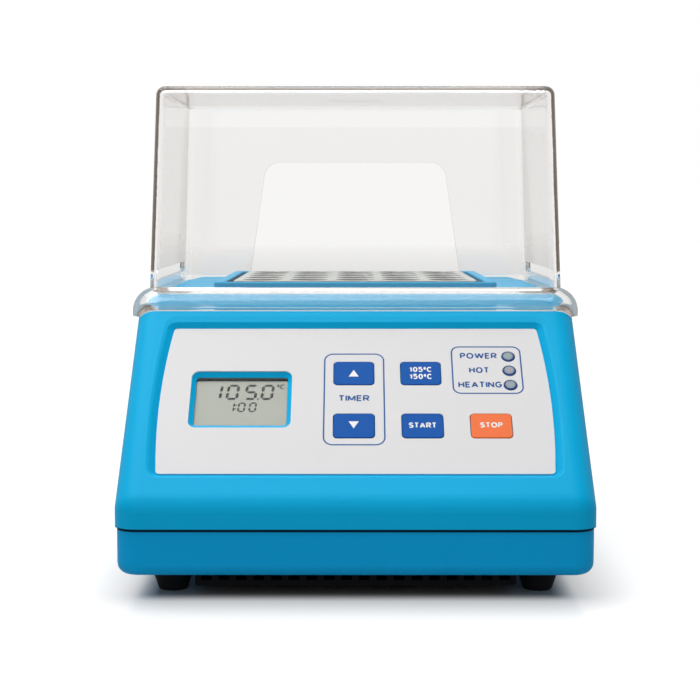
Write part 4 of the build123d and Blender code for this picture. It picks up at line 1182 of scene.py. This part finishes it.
# Through clear plastic the glow's share rises over a span of distances, and
# the lower share is painted shade on the floor seen through the plastic
THROUGH_SPAN = (2.2, 6.0)
THROUGH_CLEAR = (0.56, 0.84)


def footprint_distance(tree):
    """How far a point is from the footprint, a rectangle about the middle.

    It is the length of |place| less the rectangle's half sizes, where a
    negative part counts as 0.
    """
    past = vector_worked(tree, "ABSOLUTE", object_place(tree))
    past = vector_worked(tree, "SUBTRACT", past, FOOTPRINT_HALF)
    past = vector_worked(tree, "MAXIMUM", past, (0, 0, 0))
    return vector_worked(tree, "LENGTH", past, result="Value")


def glow_level(tree, away):
    """The sum of the glow's steps: each gives its rise, its start and its end."""
    level = 0.0
    for rise, start, end in GLOW_STEPS:
        step = remap(tree, away, start, end, to_high=rise, course="SMOOTHSTEP")
        level = worked(tree, "ADD", level, step)
    return level


def seen_share(tree, away):
    """1 for the camera, a share through clear plastic, and 0 for other rays."""
    rays = add_node(tree, "ShaderNodeLightPath").outputs
    share = remap(tree, away, *THROUGH_SPAN, *THROUGH_CLEAR)
    through = worked(tree, "MULTIPLY", rays["Is Transmission Ray"], share)
    return worked(tree, "MAXIMUM", rays["Is Camera Ray"], through)


floor_white, tree, shader = start_material("floor_white")
floor_gloss = span(tree, grain(tree, FLOOR_GRAIN), *FLOOR_GLOSS)
set_inputs(
    tree, shader, Base_Color=FLOOR_GREY, Specular_IOR_Level=FLOOR_SHINE,
    Roughness=floor_gloss,
)
away = footprint_distance(tree)
strength = worked(tree, "MULTIPLY", seen_share(tree, away), glow_level(tree, away))
glow = add_node(tree, "ShaderNodeEmission", Strength=strength)
both = add_node(tree, "ShaderNodeAddShader")
feed(tree, both.inputs[0], shader.outputs["BSDF"])
feed(tree, both.inputs[1], glow.outputs["Emission"])
set_output(tree, "Surface", both.outputs["Shader"])

half = FLOOR_SIZE / 2
floor_mesh = bpy.data.meshes.new("floor")
floor_mesh.from_pydata(
    [(-half, -half, 0), (half, -half, 0), (half, half, 0), (-half, half, 0)],
    [], [(0, 1, 2, 3)],
)
floor_mesh.materials.append(floor_white)
floor = bpy.data.objects.new("floor", floor_mesh)
bpy.context.scene.collection.objects.link(floor)
print("floor is", FLOOR_SIZE, "m wide")

# %% [markdown]
# ## Lamps
#
# One wide soft lamp hangs over the object, as in a product studio, and a
# large weak one stands in front. A wide lamp gives a soft shadow, and a
# distant one gives even light.

# %% Lamps
lamps = {  # place, the point that it faces, width and height in metres, watts
    "overhead": ((-0.25, -0.05, 1.1), (0, 0, 0.05), 1.5, 1.2, 14.6),
    "front": ((0, -1.8, 0.9), (0, 0, 0.1), 1.6, 1.0, 3.2),
}


def soft_lamp(name, place, aim, width, height, power):
    """A wide rectangular lamp at place, turned to face the point aim.

    With the way from place to aim as (x, y, z), it turns about Z by the
    angle of (x, y), and drops by the angle of -z over the length of (x, y).
    """
    data = bpy.data.lights.new(name, "AREA")
    data.shape = "RECTANGLE"
    data.size, data.size_y = width, height
    data.energy = power
    lamp = bpy.data.objects.new(name, data)
    way = np.asarray(aim, float) - np.asarray(place, float)
    turn = math.atan2(way[1], way[0])
    drop = math.atan2(-way[2], math.hypot(way[0], way[1]))
    lamp.rotation_euler = (math.pi / 2 - drop, 0, turn - math.pi / 2)
    lamp.location = place
    bpy.context.scene.collection.objects.link(lamp)


for name, values in lamps.items():
    soft_lamp(name, *values)
print("lamps:", len(lamps))

# %% [markdown]
# ## Finish
#

# %% The last line
print("scene made")
